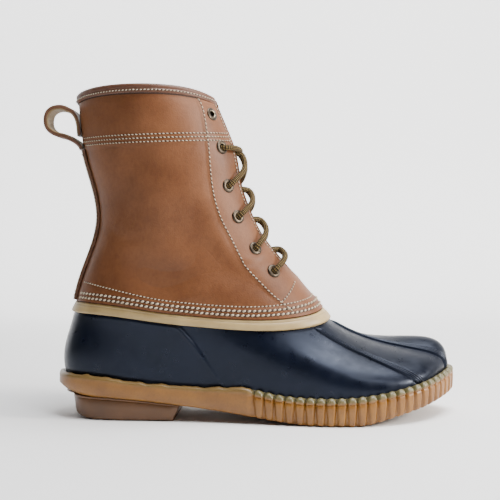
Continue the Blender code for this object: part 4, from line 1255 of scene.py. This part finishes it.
def loop_piece():
    """The pull loop: smooth leather outside, rough side inside."""
    along = np.linspace(0, 1, len(LOOP_PATH["out"]))
    out_at, up_at = (cubic(along, LOOP_PATH[name] * LOOP_REACH) for name in ("out", "up"))
    away = [max(0.0, out_at(share)) for share in np.linspace(0, 1, 120)]
    heights = [BACKSTAY_TOP + GAP + max(0.0, up_at(share)) for share in np.linspace(0, 1, 120)]
    behind_leather = 3 * GAP + LOOP_THICKNESS / 2
    middle = np.array([(leather(180, z)[0] - behind_leather - out, z) for out, z in zip(away, heights)])
    slopes = unit(np.gradient(middle, axis=0))
    across = np.linspace(-1, 1, 21)
    y = across * LOOP_WIDTH / 2
    thin = 1 - 0.45 * smooth(np.abs(across), 0.86, 1.0)
    faces = ([], [])
    for (x, z), slope, out in zip(middle, slopes, away):
        hug = max(0.0, 1 - out / 0.006)
        bend = hug * y * y / (2 * 0.021)
        half = LOOP_THICKNESS / 2 * thin * (1.4 - 0.4 * hug)
        for face, side in zip(faces, (1, -1)):
            face.append(np.stack([x + bend + side * slope[1] * half, y, z - side * slope[0] * half], 1))
    upper, lower = np.array(faces[0]), np.array(faces[1])
    long, wide = len(away) - 1, len(across) - 1
    outside = 1 if upper[60, 10, 0] > lower[60, 10, 0] else 0
    marks = [outside] * (long * wide) + [1 - outside] * (long * wide) + [0] * (2 * (long + wide))
    made = plate_piece("loop_leather", upper, lower, [stay_tan, rough], sharp=50, indices=marks)
    return show(made, "tan_leather", "pull_loop")


def eyelet_pieces():
    """Rolled eyelets, with a paler ring painted near the edge of the hole."""
    count = len(EYELET_SECTION["out"])
    marks = [1 if j == PALE_RING_FACE else 0 for _ in range(EYELET_SIDES) for j in range(count)]
    faces = ring_faces(EYELET_SIDES, count, True)
    for side_name, side in (("lateral", -1), ("medial", 1)):
        for i, height in enumerate(EYELET_HEIGHTS, 1):
            centre, axis, first, second = eyelet_frame(side, height)
            rings = []
            for angle in np.linspace(0, 2 * math.pi, EYELET_SIDES, endpoint=False):
                away = math.cos(angle) * first + math.sin(angle) * second
                rings.append([centre + r * away + out * axis for r, out in zip(*EYELET_SECTION.values())])
            name = f"eyelet_{side_name}_{i}"
            made = build(f"{name}_metal", rings, faces, [dark_metal, pale_ring_metal], sharp=60, indices=marks)
            show(made, "antique_brass", name)


def tube(path, radius, sides):
    """Rings of a round cord along a path, and how far along it each lies."""
    path = np.asarray(path)
    angles = np.linspace(0, 2 * math.pi, sides, endpoint=False)[:, None]
    tangent = unit(np.gradient(path, axis=0))
    normal = np.cross(tangent[0], (0.3, 0.2, 1.0))
    rings = []
    for point, along in zip(path, tangent):
        normal = unit(normal - along * (normal @ along))
        rings.append(point + radius * (np.cos(angles) * normal + np.sin(angles) * np.cross(along, normal)))
    return np.array(rings), gone_along(path)


def lace_piece(name, node, paths):
    """Cords of one piece, with a map of their length and turn for the braid."""
    points, faces, maps = [], [], []
    around = LACE_SIDES
    for path in paths:
        rings, gone = tube(path, LACE_RADIUS, around)
        for before, after in zip(gone / BRAID_PITCH, gone[1:] / BRAID_PITCH):
            for j in range(around):
                here, further = j / around, (j + 1) / around
                maps += [(before, here), (before, further), (after, further), (after, here)]
        maps += [(0.0, 0.0)] * (2 * around)
        add_tube(faces, len(points), len(rings), around)
        points += rings.reshape(-1, 3).tolist()
    made = build(name, points, faces, [braid], sharp=0, clean=False)
    layer = made.data.uv_layers.new(name="lace")
    layer.data.foreach_set("uv", np.array(maps, np.float32).ravel())
    return show(made, "lace_cord", node)


def route_path(route, count, height_at, reach):
    """Points over the throat from a table of the way's share across, and its height above the leather."""
    at = {name: cubic(np.linspace(0, 1, len(values)), values) for name, values in route.items()}
    return [lace_point(height_at(at, share), at["across"](share) * reach, at["out"](share))
            for share in np.linspace(0, 1, count)]


def strand_path(side, low, high):
    """Out through an eyelet, over the throat in an arc, and in behind the other edge one pair higher."""
    clear = 2 * GAP + EYELET_PROUD + LACE_RADIUS
    over = 0.0011 if side < 0 else 0.0
    route = table(
        "across up out",
        (1.00, 0.00, -0.0040),
        (1.00, 0.00, -0.0012),
        (0.97, 0.02, 0.0018),
        (0.88, 0.09, clear + 0.0001),
        (0.72, 0.20, clear + 0.0012),
        (0.53, 0.34, clear + 0.0012 + over),
        (0.33, 0.52, clear + 0.0010 + over),
        (0.13, 0.72, clear - 0.0005 + over),
        (-0.05, 0.86, 0.0014 + over),
        (-0.20, 0.94, -0.0012 + over),
        (-0.32, 0.98, -0.0034),
    )
    reach = side * eyelet_reach(low)
    return route_path(route, 64, lambda at, share: low + at["up"](share) * (high - low), reach)


def lace_pieces():
    """Four crossings, and a bar through the second pair of eyelets."""
    for level in range(3, 7):
        low, high = EYELET_HEIGHTS[level - 1], EYELET_HEIGHTS[level - 2]
        paths = [strand_path(side, low, high) for side in (-1, 1)]
        lace_piece(f"lace_{level}_braid", f"lace_cross_{level}", paths)
    clear = 2 * GAP + EYELET_PROUD + LACE_RADIUS
    half = ((1.00, -0.0040), (1.00, -0.0010), (0.97, 0.0020), (0.88, clear + 0.0002), (0.66, clear + 0.0006),
            (0.33, clear - 0.0004))
    middle = (0.0, clear - 0.0012)
    route = table("across out", *[(-across, out) for across, out in half], middle, *half[::-1])
    second = EYELET_HEIGHTS[1]
    sag = lambda at, share: second - 0.0012 * math.sin(math.pi * share)
    lace_piece("lace_2_braid", "lace_bar_top", [route_path(route, 90, sag, eyelet_reach(second))])


def stitch_row(row, normals, made, pitch, radius, lean, fill=0.56, line=0.0009):
    """Stitches along a row, each a small spindle half sunk in the leather, over a dark strip of painted
    shade.
    """
    points, faces, marks = made
    gone = gone_along(row)
    sideways = np.cross(normals, unit(np.gradient(row, axis=0)))
    # A flat dark strip of painted shade under the row, in the second finish
    start = len(points)
    for point, side, normal in zip(row, sideways, normals):
        for across, up in ((-0.5, -0.00025), (-0.3, 0.00003), (0.3, 0.00003), (0.5, -0.00025)):
            points.append(point + side * across * line + normal * up)
    quads = ring_faces(len(row), 4, False, False)
    faces += [[start + k for k in quad] for quad in quads]
    marks += [1] * len(quads)
    count = max(1, int(gone[-1] / pitch))
    angles = np.linspace(0, 2 * math.pi, 6, endpoint=False)
    for i in range(count):
        middle = (i + 0.5) * gone[-1] / count
        half = 0.5 * fill * pitch
        ends = [np.array([np.interp(middle + d, gone, row[:, c]) for c in range(3)]) for d in (-half, half)]
        normal = unit(np.array([np.interp(middle, gone, normals[:, c]) for c in range(3)]))
        length = np.linalg.norm(ends[1] - ends[0])
        along = (ends[1] - ends[0]) / length
        along = unit(along + lean * np.cross(normal, along))
        side = np.cross(normal, along)
        centre = (ends[0] + ends[1]) / 2
        start = len(points)
        for place, size in STITCH_SECTION:
            heart = centre + along * length * place + normal * radius * (0.55 - 1.6 * place * place)
            for angle in angles:
                away = normal * math.sin(angle) + side * math.cos(angle)
                points.append(heart + away * size * radius)
        add_tube(faces, start, len(STITCH_SECTION), len(angles))
        marks += [0] * (6 * 4 + 2)


def surface_row(turns, heights, out=0.0):
    """Points and normals of a row on the finished leather."""
    turns, heights = np.asarray(turns, float), np.asarray(heights, float)
    lift = out or leather_relief(turns, heights, each(leather_edge, turns))
    return leather_out(turns, heights, lift + 0.00012), leather_normal(turns, heights)


def seam_row(side, line):
    """A row on one side along a line of the side view, as far down as the leather goes."""
    along = np.linspace(0, 1, len(line["x"]))
    x_at, z_at = cubic(along, line["x"]), cubic(along, line["z"])
    turns, heights = [], []
    for share in np.linspace(0, 1, 160):
        height = z_at(share)
        turn = turn_from(side, x_at(share), height)
        if height >= leather_edge(turn) + 0.0015:
            turns.append(turn)
            heights.append(height)
    return surface_row(turns, heights)


def thread_piece(name, made):
    """One mesh of many stitches and the dark strips of painted shade under them."""
    points, faces, marks = made
    piece = build(name, points, faces, [thread, stitch_shade], sharp=0, indices=marks, clean=False)
    show(piece, "lace_cord")


def stitch_pieces():
    """Rows of the hem, the cuff, the eyestay, the throat and the collar, and those of the backstay."""
    made = ([], [], [])
    stay = abs(turn_at(0.15, BACKSTAY_WIDTH / 2 + 0.0012, 180.0) - 180.0)
    around = np.linspace(-180 + stay, 180 - stay, 500)
    edge = each(leather_edge, around)
    for height in HEM_ROWS[:2]:
        row = surface_row(around, edge + height)
        stitch_row(*row, made, **HEM_STITCH)
    upper_row = edge + HEM_ROWS[2] + 0.0052 * smooth(np.abs(around), 100, 165)
    stitch_row(*surface_row(around, upper_row), made, **UPPER_STITCH)
    throat_turn = turn_at(0.209, throat_half(0.209) + 0.0030)
    for side in (-1, 1):
        turns = side * np.linspace(throat_turn, 180 - stay, 240)
        for row in CUFF_ROWS:
            line = surface_row(turns, cuff_height(turns) + row)
            stitch_row(*line, made, lean=0.3 * side, **CUFF_STITCH)
        for line, pitch in ((EYESTAY_SEAM, SEAM_PITCH), (EYESTAY_FRONT, FRONT_PITCH)):
            stitch_row(*seam_row(side, line), made, pitch=pitch, **SEAM_STITCH)
        heights = np.linspace(THROAT_BOTTOM + 0.010, 0.2365, 130)
        turns = [turn_at(height, side * (throat_half(height) + 0.0026)) for height in heights]
        stitch_row(*surface_row(turns, heights), made, **THROAT_STITCH)
    turns, top = collar_row(THROAT_HALF_TOP + 0.0030, 500)
    row = surface_row(turns, top - 0.72 * COLLAR_DEPTH, COLLAR_PROUD + 0.0002)
    stitch_row(*row, made, **EDGE_STITCH)
    # A dark strip of painted shadow just under the collar binding's lower edge, in the same painted-shade
    # finish
    below = np.where(np.abs(turns) < 180 - stay, top - COLLAR_DEPTH - 0.0006, top - COLLAR_DEPTH + 0.0012)
    line, _ = surface_row(turns, below, 0.00001)
    points, faces, marks = made
    start = len(points)
    for point in line:
        points += [point + (0, 0, 0.0006), point - (0, 0, 0.0004)]
    for i in range(start, start + 2 * (len(line) - 1), 2):
        faces.append([i, i + 1, i + 3, i + 2])
        marks.append(1)
    thread_piece("upper_thread", made)
    made = ([], [], [])
    heights = np.linspace(leather_edge(180) + 0.003, BACKSTAY_TOP - 0.002, 160)
    out = 2 * GAP + BACKSTAY_THICKNESS - 0.0001
    for side in (-1, 1):
        turns = [turn_at(height, side * 0.84 * BACKSTAY_WIDTH / 2, 180.0) for height in heights]
        stitch_row(*surface_row(turns, heights, out), made, **EDGE_STITCH)
    for height in (BACKSTAY_TOP - 0.0035, leather_edge(180) + 0.0032, leather_edge(180) + 0.0062):
        half = abs(turn_at(height, 0.78 * BACKSTAY_WIDTH / 2, 180.0) - 180.0)
        row = surface_row(180 + np.linspace(-half, half, 60), np.full(60, height), out)
        stitch_row(*row, made, **END_STITCH)
    thread_piece("backstay_thread", made)


def area_light(name, place, size, power, colour):
    """A light that shines at the boot's middle."""
    lamp = bpy.data.lights.new(name, "AREA")
    lamp.shape = "RECTANGLE"
    lamp.size, lamp.size_y = size
    lamp.energy = power
    lamp.color = colour
    made = bpy.data.objects.new(name, lamp)
    made.location = place
    made.rotation_euler = (Vector(place) - Vector(LIT_POINT)).to_track_quat("Z", "Y").to_euler()
    bpy.context.scene.collection.objects.link(made)


def stage_set():
    """A pale floor that curves up into a bright backdrop, and the lights."""
    profile = [(-3.0, 0.0), (SWEEP_START, 0.0)]
    for angle in np.radians(np.linspace(5, 90, 18)):
        profile.append((SWEEP_START + SWEEP_RADIUS * math.sin(angle), SWEEP_RADIUS * (1 - math.cos(angle))))
    profile.append((SWEEP_START + SWEEP_RADIUS, 2.6))
    points = [(x, y, z) for y, z in profile for x in (-4.0, 4.0)]
    faces = [[2 * i, 2 * i + 1, 2 * i + 3, 2 * i + 2] for i in range(len(profile) - 1)]
    mesh = bpy.data.meshes.new("floor")
    mesh.from_pydata(points, [], faces)
    mesh.shade_smooth()
    ground = bpy.data.objects.new("floor", mesh)
    ground.location = (0, 0, -0.0004)
    bpy.context.scene.collection.objects.link(ground)
    paper = Finish("floor_paper", 0.9, specular=0.1)
    paper.set("Base Color", (0.86, 0.86, 0.86, 1))
    paper.set("Emission Color", (1.0, 1.0, 1.0, 1))
    place = paper.nodes.new("ShaderNodeSeparateXYZ")
    paper.join(paper.nodes.new("ShaderNodeTexCoord").outputs["Object"], place.inputs[0])
    glow = paper.nodes.new("ShaderNodeMapRange")
    glow.interpolation_type = "SMOOTHSTEP"
    far = SWEEP_START + 0.8 * SWEEP_RADIUS
    for name, value in (("From Min", 0.15), ("From Max", far), ("To Max", BACKDROP_GLOW)):
        glow.inputs[name].default_value = value
    paper.join(place.outputs["Y"], glow.inputs["Value"])
    paper.join(glow.outputs["Result"], paper.shader.inputs["Emission Strength"])
    mesh.materials.append(paper.material)
    world = bpy.data.worlds.new("studio")
    world.use_nodes = True
    sky = world.node_tree.nodes["Background"]
    sky.inputs["Color"].default_value = (0.90, 0.94, 1.0, 1)
    sky.inputs["Strength"].default_value = 0.06
    bpy.context.scene.world = world
    area_light("top", (0.40, -0.12, 1.1), (0.8, 0.6), 26.0, (0.97, 0.98, 1.0))
    area_light("key", (1.40, -0.32, 0.62), (0.35, 0.35), 30.0, (1.0, 0.95, 0.89))
    area_light("accent", (0.80, -0.70, 0.95), (0.25, 0.25), 3.5, (0.98, 0.98, 1.0))
    area_light("fill", (-0.2, -1.4, 0.5), (0.8, 0.8), 0.5, (1.0, 0.97, 0.94))


def camera_set():
    """The camera of the photograph."""
    a, e, r = (math.radians(angle) for angle in (AZIMUTH, ELEVATION, ROLL))
    back = Vector((math.sin(a) * math.cos(e), -math.cos(a) * math.cos(e), math.sin(e)))
    right = Vector((math.cos(a), math.sin(a), 0))
    up = back.cross(right)
    across = math.cos(r) * right + math.sin(r) * up
    rise = -math.sin(r) * right + math.cos(r) * up
    lens = bpy.data.cameras.new("camera")
    lens.lens = LENS
    lens.sensor_width = 36.0
    lens.sensor_fit = "HORIZONTAL"
    lens.clip_start = 0.01
    made = bpy.data.objects.new("camera", lens)
    place = Vector(TARGET) + back * DISTANCE
    rows = [(across[i], rise[i], back[i], place[i]) for i in range(3)] + [(0, 0, 0, 1)]
    made.matrix_world = Matrix(rows)
    bpy.context.scene.collection.objects.link(made)
    bpy.context.scene.camera = made


gum = gum_finish("gum", (0.26, 0.108, 0.012), (0.17, 0.064, 0.006), (0.125, 0.105, 0.042))
heel_gum = plain_finish("heel_gum", (0.120, 0.050, 0.015), (0.085, 0.035, 0.010), 0.45, 60.0)
navy = navy_finish()
cream = plain_finish("rim_cream", (0.42, 0.30, 0.13), (0.30, 0.205, 0.085), 0.42, 70.0)
tan = leather_finish("tan_leather_face", (0.186, 0.071, 0.027), (0.112, 0.039, 0.013))
tongue_tan = leather_finish("tongue_leather_face", (0.21, 0.090, 0.042), (0.15, 0.060, 0.026), 0.5)
stay_tan = leather_finish("strip_leather_face", (0.135, 0.062, 0.033), (0.085, 0.038, 0.020), 0.5)
binding = leather_finish("binding_leather_face", (0.13, 0.058, 0.034), (0.085, 0.036, 0.020), 0.42)
rough = suede_finish("rough_leather", (0.34, 0.225, 0.085), (0.15, 0.092, 0.038))
felt = suede_finish("insole_face", (0.42, 0.36, 0.27), (0.30, 0.25, 0.18))
braid = lace_finish()
thread = plain_finish("cream_thread", (0.56, 0.47, 0.34), (0.38, 0.29, 0.19), 0.75, 900.0)
# Painted shade: the dark strips under the stitch rows and under the collar binding's lower edge
stitch_shade = plain_finish("painted_stitch_shade", (0.050, 0.024, 0.014), (0.026, 0.012, 0.007), 0.8, 900.0)
dark_metal = plain_finish("eyelet_dark", (0.085, 0.066, 0.048), (0.035, 0.027, 0.020), 0.36, 500.0, 1.0)
# A paler ring painted on one face of each eyelet's roll, near the hole
pale_ring_metal = plain_finish("eyelet_pale_ring", (0.36, 0.30, 0.21), (0.22, 0.18, 0.12), 0.34, 500.0, 1.0)

outsole_piece()
tread_piece()
heel_piece()
insole_piece()
shell_piece()
band_piece()
upper_piece()
tongue_piece()
collar_piece()
backstay_piece()
loop_piece()
eyelet_pieces()
lace_pieces()
stitch_pieces()
stage_set()
camera_set()
